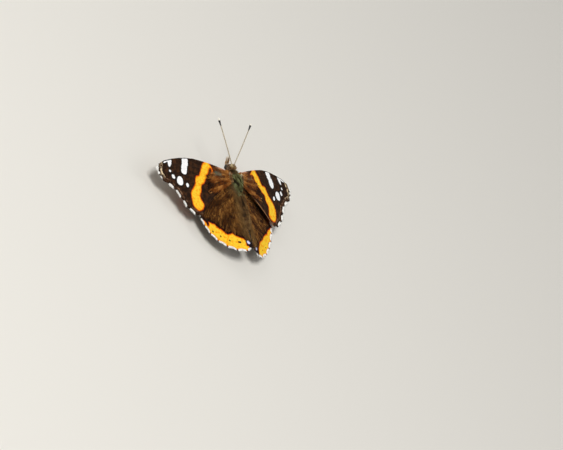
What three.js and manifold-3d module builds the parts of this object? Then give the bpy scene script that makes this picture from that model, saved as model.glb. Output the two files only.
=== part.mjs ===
// A red admiral butterfly at life size, standing at rest with its wings spread almost flat.
// Millimetres. +X is the butterfly's right, +Y is forward and +Z is up. The feet stand at z = 0.
// Shapes are drawn from the middle of the thorax, and the whole animal is then set over the origin.

import * as THREE from 'three';
import { mergeVertices } from 'three/addons/utils/BufferGeometryUtils.js';
import Module from 'manifold-3d';

const wasm = await Module();
wasm.setup();

// Driving sizes.
const standHeight = 6.9; // middle of the thorax above the floor
const pieceGap = 0.3; // clear space between neighbouring pieces
const headGap = 0.22; // the same round the small pieces of the head

// Thorax and head, as sections of [y, half width, top, bottom] from one end to the other.
const thorax = { front: 3.15, rear: -3.2, rings: 13, sides: 20 };
const thoraxSections = [
  [thorax.front, 1.1, 0.95, -0.75],
  [2.45, 1.72, 1.62, -1.6],
  [0.8, 2.25, 2.4, -2.35],
  [-1.1, 2.18, 2.23, -2.3],
  [-2.4, 1.8, 1.58, -2.02],
  [thorax.rear, 1.3, 1.05, -1.5],
];
const head = { rear: thorax.front + pieceGap, front: 5.25, rings: 9, sides: 18 };
const headSections = [
  [head.rear, 0.98, 1.1, -0.6],
  [4.05, 1.3, 1.62, -0.85],
  [4.6, 1.24, 1.48, -0.81],
  [5.1, 0.82, 0.98, -0.51],
  [head.front, 0.4, 0.58, -0.26],
];
const eye = { x: 1.25, y: 4.4, z: 0.4, halfWidth: 0.6, halfLength: 0.82, halfHeight: 0.9 };
const abdomen = {
  front: thorax.rear - pieceGap,
  rear: -14.5,
  halfWidth: 1.5,
  frontShare: 0.8, // its width at the waist, as a share of the full width
  fullAt: 0.14, // full width is reached at this part of its length
  taperFrom: 0.42, // and is kept up to here
  tipRadius: 0.1,
  middle: -0.25, // height of its axis at the waist
  drop: 0.35, // how far the axis sinks to the tip
  segments: 8,
  ringStep: [0.95, 1.0, 1.03], // width of a segment at its front, middle and rear edge
  sides: 14,
};

// Feelers. Each is given for the right side.
const antenna = {
  foot: new THREE.Vector3(0.5, 4.45, 1.45),
  base: new THREE.Vector3(0.68, 4.75, 1.85),
  tip: new THREE.Vector3(7.9, 15.55, 7.25),
  bow: new THREE.Vector3(0.08, 0.06, 0.16),
  shaftRadius: 0.26,
  clubRadius: 0.5,
  clubLength: 2.6,
};
const palp = {
  bends: [[0.5, 5.3, -0.3], [0.5, 5.95, 0.1], [0.46, 6.65, 0.7], [0.4, 7.35, 1.25]],
  rootRadius: 0.3,
  bellyRadius: 0.34,
  tipRadius: 0.15,
};
const proboscis = {
  mouth: [4.1, -0.95], // where it leaves the head, along Y and Z
  y: 3.85, // middle of the coil
  z: -2.4,
  rootAngle: 65, // degrees from forward to up, from where it coils forward and down
  turns: 1.15,
  rootReach: 1.0,
  turnPitch: 0.62,
  radius: 0.22,
  sides: 6,
};

// Legs, given for the right side from hip to toe. The front pair is short and folded up.
const foreleg = {
  bends: [[0.8, 2.3, -1.75], [1.0, 3.7, -1.95], [1.08, 4.35, -2.55], [0.9, 3.6, -3.3]],
  hipRadius: 0.36,
  toeRadius: 0.2,
};
const walkingLegs = [
  {
    name: 'midleg',
    joints: [[0.95, 0.5, -1.95], [4.2, 1.9, -2.2], [5.7, 3.1, -6.62], [7.2, 4.7, -6.7]],
  },
  {
    name: 'hindleg',
    joints: [[0.95, -1.8, -1.8], [3.9, -4.9, -3.15], [5.6, -8.3, -6.62], [6.9, -11.5, -6.7]],
  },
];
const legRadii = [0.42, 0.32, 0.27, 0.25];
const legSides = 8;
const swell = 1.2; // a thigh or shin is this much thicker in its middle than at its ends
const solePress = 0.12; // a foot's underside is flattened over this height
const smallestEdge = 0.01; // shorter edges that a cut leaves are drawn together

// Wings.
const membrane = { half: 0.25, marginHalf: 0.18 }; // half thickness inside and at the outer margin
const ridge = { height: 0.14, marginHeight: 0.05, halfWidth: 0.24 };
const scallop = 0.34; // depth of the bays between vein ends on the outer margin
const infillSpacing = 2.0;
const rowCount = 15;
const pocketReach = 2.4; // how far along the wing its pocket in the thorax is cut

// Right forewing in plan. Each vein starts on the wing's root or leaves another vein at a part of
// its length, ends on the margin, and bows towards the front edge by so many millimetres.
const forewing = {
  frontEdge: { start: [1.4, 2.05], end: [17.2, 5.8], bow: 0.4 },
  rearEdge: { start: [1.4, -0.45], end: [17.3, -11.0], bow: 1.5 },
  veins: [
    { name: 'subcosta', start: [1.4, 1.7], end: [19.5, 5.9], bow: 0.3 },
    { name: 'radius1', leaves: 'radius', at: 0.38, end: [22.3, 5.75], bow: 0.2 },
    { name: 'radius2', leaves: 'radius', at: 0.5, end: [25.2, 5.4], bow: 0.2 },
    { name: 'radius3', leaves: 'radius', at: 0.74, end: [28.5, 4.75], bow: 0.1 },
    { name: 'radius', start: [1.4, 1.2], end: [30.9, 3.7], bow: 0.7 },
    { name: 'radius5', leaves: 'radius', at: 0.66, end: [32.0, 2.2], bow: 0 },
    { name: 'media1', leaves: 'radius', at: 0.56, end: [31.6, 0.3], bow: 0.2 },
    { name: 'media2', between: ['radius', 'cubitus'], at: 0.57, end: [30.5, -1.5], bow: 0.2 },
    { name: 'media3', leaves: 'cubitus', at: 0.6, end: [26.4, -3.5], bow: 0.8 },
    { name: 'cubitus', start: [1.4, 0.6], end: [24.6, -6.05], bow: 2.0 },
    { name: 'cubitus2', leaves: 'cubitus', at: 0.42, end: [22.9, -8.6], bow: 0.9 },
    { name: 'anal', start: [1.4, 0.05], end: [19.6, -10.75], bow: 1.6 },
  ],
  // Height of the wing's mid surface: it falls evenly to the tip and to the rear.
  height: (x, y) => 0.95 - 0.115 * (x - 2.1) + 0.172 * (y - 1.4),
};

// Right hindwing in plan.
const hindwing = {
  frontEdge: { start: [1.3, -1.15], end: [16.6, -5.6], bow: 3.6 },
  rearEdge: { start: [1.3, -2.8], end: [0.8, -20.3], bow: 0.85 },
  veins: [
    { name: 'subcosta', start: [1.3, -1.45], end: [17.1, -8.6], bow: 2.7 },
    { name: 'radius', start: [1.3, -1.8], end: [17.3, -10.9], bow: 1.8 },
    { name: 'media1', leaves: 'radius', at: 0.4, end: [16.6, -13.2], bow: 0.4 },
    { name: 'media2', between: ['radius', 'cubitus'], at: 0.4, end: [15.3, -15.7], bow: 0.3 },
    { name: 'media3', leaves: 'cubitus', at: 0.4, end: [13.1, -17.9], bow: 0.3 },
    { name: 'cubitus', start: [1.3, -2.1], end: [10.2, -19.6], bow: 0.9 },
    { name: 'cubitus2', leaves: 'cubitus', at: 0.28, end: [6.9, -20.8], bow: 0.4 },
    { name: 'anal', start: [1.3, -2.45], end: [3.5, -21.25], bow: 1.0 },
  ],
};

// It lies lower than the forewing and droops more beside the body than further out. The right one
// also falls a little more towards its rear than the left, and its outer corner reaches further.
const hindwingHeight = (fall) => (x, y) => -0.5 - 0.34 * (x - 2) + 0.009 * (x - 2) ** 2 + fall * (y + 1.6);
const rightVeinEnds = {
  subcosta: [18.8, -8.3],
  radius: [18.8, -10.2],
  media1: [17.6, -12.2],
  media2: [15.9, -14.9],
  media3: [13.5, -17.4],
  cubitus: [10.7, -19.6],
  cubitus2: [6.9, -21.2],
  anal: [3.5, -21.5],
};
const rightHindwing = {
  frontEdge: { ...hindwing.frontEdge, end: [18.0, -5.4] },
  rearEdge: hindwing.rearEdge,
  veins: hindwing.veins.map((vein) => ({ ...vein, end: rightVeinEnds[vein.name] })),
  height: hindwingHeight(0.09),
};
const leftHindwing = { ...hindwing, height: hindwingHeight(0.02) };

// Looks of each kind of piece, before the finer finish.
const looks = {
  wing: { color: '#4a2a14', roughness: 0.85, metalness: 0 },
  coat: { color: '#5b5338', roughness: 0.95, metalness: 0 },
  eye: { color: '#1c120c', roughness: 0.25, metalness: 0 },
  horn: { color: '#2b1a10', roughness: 0.5, metalness: 0 },
  leg: { color: '#9c7a52', roughness: 0.7, metalness: 0 },
};

// A closed body from its points and triangles, turned so that its faces point outwards.
function closedBody(points, faces) {
  let volume = 0;
  for (const [a, b, c] of faces) {
    volume += points[a].dot(new THREE.Vector3().crossVectors(points[b], points[c]));
  }
  const outward = volume > 0 ? faces : faces.map(([a, b, c]) => [a, c, b]);
  const geometry = new THREE.BufferGeometry().setFromPoints(points);
  geometry.setIndex(outward.flat());
  return geometry;
}

// Joins rings of equal size into a tube and closes both ends.
function tube(rings) {
  const points = rings.flat();
  const sides = rings[0].length;
  const faces = [];
  for (let ring = 0; ring + 1 < rings.length; ring += 1) {
    for (let side = 0; side < sides; side += 1) {
      const a = ring * sides + side;
      const b = ring * sides + (side + 1) % sides;
      faces.push([a, b, b + sides], [a, b + sides, a + sides]);
    }
  }
  const last = (rings.length - 1) * sides;
  for (let side = 1; side + 1 < sides; side += 1) {
    faces.push([0, side + 1, side], [last, last + side, last + side + 1]);
  }
  return closedBody(points, faces);
}

// A body lofted smoothly along Y through sections of [y, half width, top, bottom].
function loft(sections, ringCount, sides) {
  const through = (points) => new THREE.CatmullRomCurve3(points, false, 'catmullrom');
  const upper = through(sections.map(([y, halfWidth, top]) => new THREE.Vector3(y, halfWidth, top)));
  const lower = through(sections.map(([y, , , bottom]) => new THREE.Vector3(y, bottom, 0)));
  const rings = [];
  for (let step = 0; step < ringCount; step += 1) {
    const along = step / (ringCount - 1);
    const section = upper.getPoint(along);
    rings.push(ovalRing(section.x, section.y, section.z, lower.getPoint(along).y, sides));
  }
  return tube(rings);
}

function ovalRing(y, halfWidth, top, bottom, sides) {
  const middle = (top + bottom) / 2;
  const halfHeight = (top - bottom) / 2;
  const ring = [];
  for (let side = 0; side < sides; side += 1) {
    const turn = (side / sides) * 2 * Math.PI;
    ring.push(new THREE.Vector3(halfWidth * Math.cos(turn), y, middle + halfHeight * Math.sin(turn)));
  }
  return ring;
}

// A round limb through stations of { at, radius }, whose rings follow on without a twist. With grow
// it is thicker all round and reaches further in at its root, which is the shape of its seat.
function limb(stations, sides, grow = 0) {
  const places = stations.map((station) => station.at.clone());
  const inward = places[0].clone().sub(places[1]).normalize();
  places[0].addScaledVector(inward, grow);
  const up = new THREE.Vector3(0, 0, 1);
  const across = new THREE.Vector3().crossVectors(inward, up);
  const rings = places.map((place, index) => {
    const before = places[Math.max(index - 1, 0)];
    const after = places[Math.min(index + 1, places.length - 1)];
    const along = after.clone().sub(before).normalize();
    across.addScaledVector(along, -across.dot(along)).normalize();
    const above = new THREE.Vector3().crossVectors(across, along);
    const ring = [];
    for (let side = 0; side < sides; side += 1) {
      const turn = ((side + 0.5) / sides) * 2 * Math.PI;
      const radius = stations[index].radius + grow;
      ring.push(place.clone()
        .addScaledVector(across, radius * Math.cos(turn))
        .addScaledVector(above, radius * Math.sin(turn)));
    }
    return ring;
  });
  return tube(rings);
}

// Solids for cutting. Only the largest closed surface of a result is kept.
function toSolid(geometry) {
  return new wasm.Manifold(new wasm.Mesh({
    numProp: 3,
    vertProperties: new Float32Array(geometry.attributes.position.array),
    triVerts: new Uint32Array(geometry.index.array),
  }));
}

function cut(geometry, cutters) {
  let solid = toSolid(geometry);
  for (const cutter of cutters) {
    solid = solid.subtract(toSolid(cutter));
  }
  const pieces = solid.simplify(smallestEdge).decompose();
  pieces.sort((a, b) => b.volume() - a.volume());
  const mesh = pieces[0].getMesh();
  const result = new THREE.BufferGeometry();
  result.setAttribute('position', new THREE.BufferAttribute(mesh.vertProperties.slice(), 3));
  result.setIndex([...mesh.triVerts]);
  return result;
}

// The same shape on the other side of the body, with its faces still pointing outwards.
function mirrored(geometry) {
  const twin = geometry.clone().scale(-1, 1, 1);
  const corners = twin.index.array;
  for (let face = 0; face < corners.length; face += 3) {
    [corners[face + 1], corners[face + 2]] = [corners[face + 2], corners[face + 1]];
  }
  return twin;
}

// Wing drawing. A path is a curve in plan, and a vein that leaves another follows it up to there.
function bowedCurve(start, end, bow) {
  const from = new THREE.Vector2(...start);
  const to = new THREE.Vector2(...end);
  const chord = to.clone().sub(from);
  const forward = new THREE.Vector2(-chord.y, chord.x).normalize();
  const control = from.clone().add(to).multiplyScalar(0.5).addScaledVector(forward, 2 * bow);
  return new THREE.QuadraticBezierCurve(from, control, to);
}

const edgeCurve = ({ start, end, bow }) => bowedCurve(start, end, bow);

function wingPaths(wing) {
  const paths = new Map();
  for (const vein of wing.veins.filter((each) => each.start)) {
    const curve = edgeCurve(vein);
    paths.set(vein.name, { begins: 0, point: (along) => curve.getPointAt(along) });
  }
  for (const vein of wing.veins.filter((each) => !each.start)) {
    const carriers = vein.between ?? [vein.leaves];
    const fork = new THREE.Vector2();
    for (const carrier of carriers) {
      fork.addScaledVector(paths.get(carrier).point(vein.at), 1 / carriers.length);
    }
    const curve = bowedCurve(fork.toArray(), vein.end, vein.bow);
    const point = (along) => curve.getPointAt((along - vein.at) / (1 - vein.at));
    paths.set(vein.name, { begins: vein.at, point });
  }
  return paths;
}

// One row of points across the wing, at the same part of every vein's length. Each vein gives a
// crest and two flanks, and wide spaces between veins get points of their own.
function wingRow(wing, paths, along) {
  const edge = (path, name) => ({ name, place: edgeCurve(path).getPointAt(along), crest: 0 });
  const taper = THREE.MathUtils.lerp(ridge.height, ridge.marginHeight, along);
  const lines = [edge(wing.frontEdge, 'frontEdge')];
  for (const vein of wing.veins) {
    const path = paths.get(vein.name);
    if (along > path.begins || (along === 0 && path.begins === 0)) {
      lines.push({ name: vein.name, place: path.point(along), crest: taper });
    }
  }
  lines.push(edge(wing.rearEdge, 'rearEdge'));
  const row = [{ ...lines[0] }];
  for (let index = 1; index < lines.length; index += 1) {
    row.push(...betweenLines(lines[index - 1], lines[index], along), { ...lines[index] });
  }
  return row;
}

function betweenLines(front, rear, along) {
  const width = front.place.distanceTo(rear.place);
  const flank = Math.min(ridge.halfWidth, 0.35 * width);
  const first = front.crest > 0 ? flank / width : 0;
  const last = rear.crest > 0 ? 1 - flank / width : 1;
  const steps = Math.max(1, Math.round(((last - first) * width) / infillSpacing));
  const inner = [];
  for (let step = 0; step <= steps; step += 1) {
    const share = first + (last - first) * (step / steps);
    if (share > 0 && share < 1) {
      const place = front.place.clone().lerp(rear.place, share);
      const forward = new THREE.Vector2(front.place.y - rear.place.y, rear.place.x - front.place.x);
      const bay = along === 1 ? Math.min(scallop, width / 6) * Math.sin(Math.PI * share) : 0;
      inner.push({ place: place.addScaledVector(forward.normalize(), -bay), crest: 0 });
    }
  }
  return inner;
}

// Triangles between two rows. Lines that both rows have are matched, and the points between two
// such lines are joined in order of how far across they lie.
function stitchRows(upper, lower, upperStart, lowerStart) {
  const shared = upper.filter((point) => point.name && lower.some((other) => other.name === point.name));
  const indexOf = (row, name) => row.findIndex((point) => point.name === name);
  const faces = [];
  for (let pair = 0; pair + 1 < shared.length; pair += 1) {
    const [from, to] = [shared[pair].name, shared[pair + 1].name];
    let a = indexOf(upper, from);
    let b = indexOf(lower, from);
    const [aFirst, aLast] = [a, indexOf(upper, to)];
    const [bFirst, bLast] = [b, indexOf(lower, to)];
    while (a < aLast || b < bLast) {
      const nextUpper = (a + 1 - aFirst) / (aLast - aFirst);
      const nextLower = (b + 1 - bFirst) / (bLast - bFirst);
      if (b === bLast || (a < aLast && nextUpper <= nextLower)) {
        faces.push([upperStart + a, upperStart + a + 1, lowerStart + b]);
        a += 1;
      } else {
        faces.push([upperStart + a, lowerStart + b + 1, lowerStart + b]);
        b += 1;
      }
    }
  }
  return faces;
}

// A thin solid over rows of plan points: the upper and lower faces have the same triangles, and a
// narrow wall runs round the edge.
function sheet(rows, height, halfThickness) {
  const starts = [];
  let count = 0;
  for (const row of rows) {
    starts.push(count);
    count += row.length;
  }
  const surface = (side) => rows.flatMap((row, rowIndex) => row.map(({ place, crest }) => {
    const lift = halfThickness(rowIndex) + crest;
    return new THREE.Vector3(place.x, place.y, height(place.x, place.y) + side * lift);
  }));
  const points = [...surface(1), ...surface(-1)];
  const above = [];
  for (let index = 0; index + 1 < rows.length; index += 1) {
    above.push(...stitchRows(rows[index], rows[index + 1], starts[index], starts[index + 1]));
  }
  const rim = [
    ...rows[0].map((_, index) => index),
    ...starts.slice(1).map((start, index) => start + rows[index + 1].length - 1),
    ...rows.at(-1).map((_, index) => starts.at(-1) + index).reverse().slice(1),
    ...starts.slice(1, -1).reverse(),
  ];
  const faces = [...above, ...above.map(([a, b, c]) => [a + count, c + count, b + count])];
  rim.forEach((a, index) => {
    const b = rim[(index + 1) % rim.length];
    faces.push([a, a + count, b + count], [a, b + count, b]);
  });
  return closedBody(points, faces);
}

function wingBody(wing) {
  const paths = wingPaths(wing);
  const rows = [];
  for (let index = 0; index <= rowCount; index += 1) {
    rows.push(wingRow(wing, paths, index / rowCount));
  }
  const half = (row) => THREE.MathUtils.lerp(membrane.half, membrane.marginHalf, (row / rowCount) ** 4);
  return sheet(rows, wing.height, half);
}

// The pocket that a wing's root needs in the thorax: a block with the gap on every side.
function wingPocket(wing) {
  const reach = pocketReach / edgeCurve(wing.frontEdge).getLength();
  const rows = [0, reach].map((along) => {
    const front = edgeCurve(wing.frontEdge).getPointAt(along);
    const rear = edgeCurve(wing.rearEdge).getPointAt(along);
    const inward = along === 0 ? -pieceGap : 0;
    return [
      { name: 'frontEdge', place: front.add(new THREE.Vector2(inward, pieceGap)), crest: 0 },
      { name: 'rearEdge', place: rear.add(new THREE.Vector2(inward, -pieceGap)), crest: 0 },
    ];
  });
  return sheet(rows, wing.height, () => membrane.half + ridge.height + pieceGap);
}

// Feelers, mouth parts and legs for the right side, each as stations along its middle line.
function antennaStations() {
  const middle = antenna.base.clone().add(antenna.tip).multiplyScalar(0.5).addScaledVector(antenna.bow, 2);
  const curve = new THREE.QuadraticBezierCurve3(antenna.base, middle, antenna.tip);
  const clubStart = 1 - antenna.clubLength / curve.getLength();
  const shaftSteps = 9;
  const stations = [{ at: antenna.foot, radius: antenna.shaftRadius }];
  for (let step = 0; step < shaftSteps; step += 1) {
    const along = (clubStart * step) / shaftSteps;
    stations.push({ at: curve.getPointAt(along), radius: antenna.shaftRadius });
  }
  const clubSteps = 6;
  for (let step = 0; step <= clubSteps; step += 1) {
    const share = step / clubSteps;
    const bulge = Math.sin(Math.PI * share ** 1.4);
    const base = antenna.shaftRadius * (1 - 0.4 * share);
    const radius = base + (antenna.clubRadius - base) * bulge;
    stations.push({ at: curve.getPointAt(clubStart + (1 - clubStart) * share), radius });
  }
  return stations;
}

function bentStations(bends, steps, radiusAt) {
  const curve = new THREE.CatmullRomCurve3(bends.map((bend) => new THREE.Vector3(...bend)));
  const stations = [];
  for (let step = 0; step <= steps; step += 1) {
    const along = step / steps;
    stations.push({ at: curve.getPointAt(along), radius: radiusAt(along) });
  }
  return stations;
}

function palpStations() {
  return bentStations(palp.bends, 7, (along) => {
    const swollen = THREE.MathUtils.lerp(palp.rootRadius, palp.bellyRadius, Math.sin(Math.PI * along));
    return THREE.MathUtils.lerp(swollen, palp.tipRadius, along ** 4);
  });
}

function forelegStations() {
  return bentStations(foreleg.bends, 9, (along) => (
    THREE.MathUtils.lerp(foreleg.hipRadius, foreleg.toeRadius, along)
  ));
}

function proboscisStations() {
  const steps = 24;
  const stations = [{ at: new THREE.Vector3(0, ...proboscis.mouth), radius: proboscis.radius }];
  for (let step = 0; step <= steps; step += 1) {
    const turned = (proboscis.turns * step) / steps;
    const angle = THREE.MathUtils.degToRad(proboscis.rootAngle) - turned * 2 * Math.PI;
    const reach = proboscis.rootReach - proboscis.turnPitch * turned;
    const at = new THREE.Vector3(
      0,
      proboscis.y + reach * Math.cos(angle),
      proboscis.z + reach * Math.sin(angle),
    );
    stations.push({ at, radius: proboscis.radius * (1 - (0.3 * step) / steps) });
  }
  return stations;
}

// A leg bends at each joint, over a short stretch, and swells a little between the joints.
function legStations({ joints }) {
  const places = joints.map((joint) => new THREE.Vector3(...joint));
  const stations = [{ at: places[0], radius: legRadii[0] }];
  for (let bone = 0; bone + 1 < places.length; bone += 1) {
    const [from, to] = [places[bone], places[bone + 1]];
    const isLast = bone + 2 === places.length;
    const shares = isLast ? [0.12, 0.55, 1] : [0.12, 0.45, 0.9];
    for (const share of shares) {
      const radius = THREE.MathUtils.lerp(legRadii[bone], legRadii[bone + 1], share);
      const fat = share > 0.4 && share < 0.6 ? swell : 1;
      stations.push({ at: from.clone().lerp(to, share), radius: radius * fat });
    }
  }
  return stations;
}

// A foot's underside is pressed flat where it comes near the floor.
function standOnFloor(geometry) {
  const positions = geometry.attributes.position;
  for (let index = 0; index < positions.count; index += 1) {
    if (positions.getZ(index) < solePress - standHeight) {
      positions.setZ(index, -standHeight);
    }
  }
  return geometry;
}

function eyeball(grow = 0) {
  const sphere = new THREE.SphereGeometry(1, 18, 12);
  sphere.deleteAttribute('normal');
  sphere.deleteAttribute('uv');
  return mergeVertices(sphere)
    .scale(eye.halfWidth + grow, eye.halfLength + grow, eye.halfHeight + grow)
    .translate(eye.x, eye.y, eye.z);
}

// The abdomen is round and tapers to the rear in segments. Each segment widens to its rear edge
// and overlaps the next.
function abdomenRing(along, widening) {
  const swelling = THREE.MathUtils.lerp(abdomen.frontShare, 1, Math.min(along / abdomen.fullAt, 1));
  const past = Math.max(0, (along - abdomen.taperFrom) / (1 - abdomen.taperFrom));
  const taper = Math.sqrt(1 - past ** 2.3);
  const radius = Math.max(abdomen.halfWidth * swelling * taper * widening, abdomen.tipRadius);
  const middle = abdomen.middle - abdomen.drop * along;
  const y = THREE.MathUtils.lerp(abdomen.front, abdomen.rear, along);
  return ovalRing(y, radius, middle + radius, middle - radius, abdomen.sides);
}

function abdomenBody() {
  const rings = [];
  for (let segment = 0; segment < abdomen.segments; segment += 1) {
    abdomen.ringStep.forEach((widening, index) => {
      const share = (0.92 * index) / (abdomen.ringStep.length - 1);
      rings.push(abdomenRing((segment + share) / abdomen.segments, widening));
    });
  }
  rings.push(abdomenRing(1, 1));
  return tube(rings);
}

const insect = new THREE.Group();

function addPiece(name, geometry, { color, roughness, metalness }) {
  const material = new THREE.MeshStandardMaterial({ color, roughness, metalness });
  const mesh = new THREE.Mesh(geometry, material);
  mesh.name = name;
  insect.add(mesh);
}

function addPair(name, geometry, look) {
  addPiece(`${name}_right`, geometry, look);
  addPiece(`${name}_left`, mirrored(geometry), look);
}

const bothSides = (geometry) => [geometry, mirrored(geometry)];

// The head with its eyes, feelers, palps and coiled tongue.
const headLimbs = [
  { name: 'antenna', stations: antennaStations(), sides: 8, look: looks.horn },
  { name: 'palp', stations: palpStations(), sides: 8, look: looks.leg },
];
const tongue = proboscisStations();
const headSeats = [
  ...bothSides(eyeball(headGap)),
  ...headLimbs.flatMap(({ stations, sides }) => bothSides(limb(stations.slice(0, 3), sides, headGap))),
  limb(tongue.slice(0, 4), proboscis.sides, headGap),
];
addPiece('head', cut(loft(headSections, head.rings, head.sides), headSeats), looks.coat);
addPair('eye', eyeball(), looks.eye);
for (const { name, stations, sides, look } of headLimbs) {
  addPair(name, limb(stations, sides), look);
}
addPiece('proboscis', limb(tongue, proboscis.sides), looks.horn);

// The thorax with pockets for the roots of its wings and legs, and the abdomen behind it.
const legShapes = [
  { name: 'foreleg', stations: forelegStations() },
  ...walkingLegs.map((leg) => ({ name: leg.name, stations: legStations(leg) })),
];
const thoraxSeats = [
  ...bothSides(wingPocket(forewing)),
  wingPocket(rightHindwing),
  mirrored(wingPocket(leftHindwing)),
  ...legShapes.flatMap(({ stations }) => bothSides(limb(stations.slice(0, 3), legSides, pieceGap))),
];
addPiece('thorax', cut(loft(thoraxSections, thorax.rings, thorax.sides), thoraxSeats), looks.coat);
addPiece('abdomen', abdomenBody(), looks.coat);
for (const { name, stations } of legShapes) {
  addPair(name, standOnFloor(limb(stations, legSides)), looks.leg);
}
addPair('forewing', wingBody(forewing), looks.wing);
addPiece('hindwing_right', wingBody(rightHindwing), looks.wing);
addPiece('hindwing_left', mirrored(wingBody(leftHindwing)), looks.wing);

// Stand the animal on the floor with the middle of its length over the origin.
const extent = new THREE.Box3().setFromObject(insect);
insect.position.set(0, -(extent.min.y + extent.max.y) / 2, standHeight);
insect.updateMatrixWorld(true);

export default insect;
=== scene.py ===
"""A red admiral butterfly, standing with its wings spread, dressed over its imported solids.

Sizes are millimetres from the middle of the thorax: X to the butterfly's right, Y forward and Z up.
Finished meshes are in metres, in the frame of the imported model.
"""

import logging
import math
from collections.abc import Callable, Sequence
from dataclasses import dataclass, field, replace
from enum import Enum

import bpy
import numpy as np
from mathutils import Matrix, Vector


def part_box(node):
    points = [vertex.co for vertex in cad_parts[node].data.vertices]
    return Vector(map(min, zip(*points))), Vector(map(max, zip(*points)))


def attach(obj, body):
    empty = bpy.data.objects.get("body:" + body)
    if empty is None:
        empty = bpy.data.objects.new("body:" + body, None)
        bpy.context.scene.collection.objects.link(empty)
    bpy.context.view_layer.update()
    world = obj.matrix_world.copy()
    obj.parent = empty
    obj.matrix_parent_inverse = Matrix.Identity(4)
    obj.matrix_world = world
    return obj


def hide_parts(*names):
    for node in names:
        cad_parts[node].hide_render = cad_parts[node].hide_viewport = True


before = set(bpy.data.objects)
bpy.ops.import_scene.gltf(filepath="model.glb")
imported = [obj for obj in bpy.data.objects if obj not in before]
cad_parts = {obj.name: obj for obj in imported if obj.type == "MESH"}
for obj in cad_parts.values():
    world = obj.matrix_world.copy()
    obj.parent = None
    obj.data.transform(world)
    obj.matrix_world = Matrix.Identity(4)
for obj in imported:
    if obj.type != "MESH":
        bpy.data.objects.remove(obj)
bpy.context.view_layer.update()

LOG = logging.getLogger("red_admiral")
MM = 0.001
BODY = "root"
EYE_PLACE = (1.25, 4.4, 0.4)  # middle of the right eye, from the middle of the thorax
BAKE_PATCH = 0.003  # width of the patch that each tuft has on its skin's unwrap

Array = np.ndarray
Piece, Node, Socket, Tree = bpy.types.Object, bpy.types.Node, bpy.types.NodeSocket, bpy.types.NodeTree
Point2 = tuple[float, float]
Point3 = tuple[float, float, float]


def thorax_middle() -> Array:
    """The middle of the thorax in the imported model, in millimetres.

    Returns:
        Three coordinates, worked out from where the solid of the right eye stands.
    """
    low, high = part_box("eye_right")
    return (np.array(low) + np.array(high)) / 2 / MM - np.array(EYE_PLACE)


THORAX_MIDDLE = thorax_middle()


class Side(Enum):
    """The two sides of the body."""

    RIGHT = "right"
    LEFT = "left"

    def turned(self, vectors: Array) -> Array:
        """Vectors of the right side, as they lie on this side."""
        return vectors * np.array([-1, 1, 1]) if self is Side.LEFT else vectors


def to_frame(points: Array) -> Array:
    """Points in millimetres from the thorax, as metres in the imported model's frame."""
    return (np.asarray(points, float) + THORAX_MIDDLE) * MM


def unit(vectors: Array) -> Array:
    """The same vectors, each with length one."""
    length = np.linalg.norm(vectors, axis=-1, keepdims=True)
    return vectors / np.maximum(length, 1e-12)


def ease(value: Array, low: float, high: float) -> Array:
    """Rises smoothly from 0 at low to 1 at high.

    Args:
        value: the numbers to ease.
        low: where the rise begins.
        high: where it ends, which may be below low for a fall.

    Returns:
        An array of the same shape, from 0 to 1.
    """
    share = np.clip((np.asarray(value, float) - low) / (high - low), 0, 1)
    return share * share * (3 - 2 * share)


def bowed(start: Point2, end: Point2, bow: float | Array, along: Array) -> Array:
    """Points on a curve from start to end that bows towards the front edge of the wing.

    Args:
        start: where it begins in plan, or one start for each point.
        end: where it ends, or one end for each point.
        bow: how far its middle lies in front of the chord.
        along: the share of the way for each point.

    Returns:
        Plan points, one for each share.
    """
    start, end = np.asarray(start, float), np.asarray(end, float)
    chord = end - start
    forward = unit(np.stack([-chord[..., 1], chord[..., 0]], -1))
    share = np.asarray(along, float)[..., None]
    lift = 4 * share * (1 - share) * np.asarray(bow, float)[..., None]
    return start + chord * share + forward * lift


def distance_to_path(points: Array, path: Array) -> tuple[Array, Array]:
    """How far plan points lie from a path of straight pieces.

    Args:
        points: plan points, one in each row.
        path: the path's points in order.

    Returns:
        The distances, and the share of the path's points at which each is nearest.
    """
    best = np.full(len(points), 1e9)
    where = np.zeros(len(points))
    for index in range(len(path) - 1):
        start, step = path[index], path[index + 1] - path[index]
        share = np.clip((points - start) @ step / max(step @ step, 1e-12), 0, 1)
        gap = np.linalg.norm(points - start - share[:, None] * step, axis=1)
        nearer = gap < best
        best[nearer] = gap[nearer]
        where[nearer] = (index + share[nearer]) / (len(path) - 1)
    return best, where


def closed_curve(corners: Sequence[Point2], steps: int = 6) -> Array:
    """A smooth closed outline through a few corners.

    Args:
        corners: the points that it passes through, in order.
        steps: how many points it has for each corner.

    Returns:
        The points of the outline, with the first repeated at the end.
    """
    knots = np.array(corners, float)
    before, after, beyond = np.roll(knots, 1, 0), np.roll(knots, -1, 0), np.roll(knots, -2, 0)
    share = np.linspace(0, 1, steps, endpoint=False)[None, :, None]
    a, b, c, d = (each[:, None, :] for each in (before, knots, after, beyond))
    curve = 0.5 * (
        2 * b + (c - a) * share + (2 * a - 5 * b + 4 * c - d) * share**2 + (3 * b - a - 3 * c + d) * share**3
    )
    curve = curve.reshape(-1, 2)
    return np.vstack([curve, curve[:1]])


def inside_depth(points: Array, outline: Array) -> Array:
    """How deep plan points lie inside a closed outline, below zero outside it.

    Args:
        points: plan points, one in each row.
        outline: the outline's points, with the first repeated at the end.

    Returns:
        One depth in millimetres for each point.
    """
    distance, _ = distance_to_path(points, outline)
    crossings = np.zeros(len(points), int)
    for (x0, y0), (x1, y1) in zip(outline[:-1], outline[1:]):
        spans = (y0 > points[:, 1]) != (y1 > points[:, 1])
        level = np.where(y1 == y0, 1e-12, y1 - y0)
        crossings += spans & (points[:, 0] < (x1 - x0) * (points[:, 1] - y0) / level + x0)
    return np.where(crossings % 2 == 1, distance, -distance)


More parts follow.
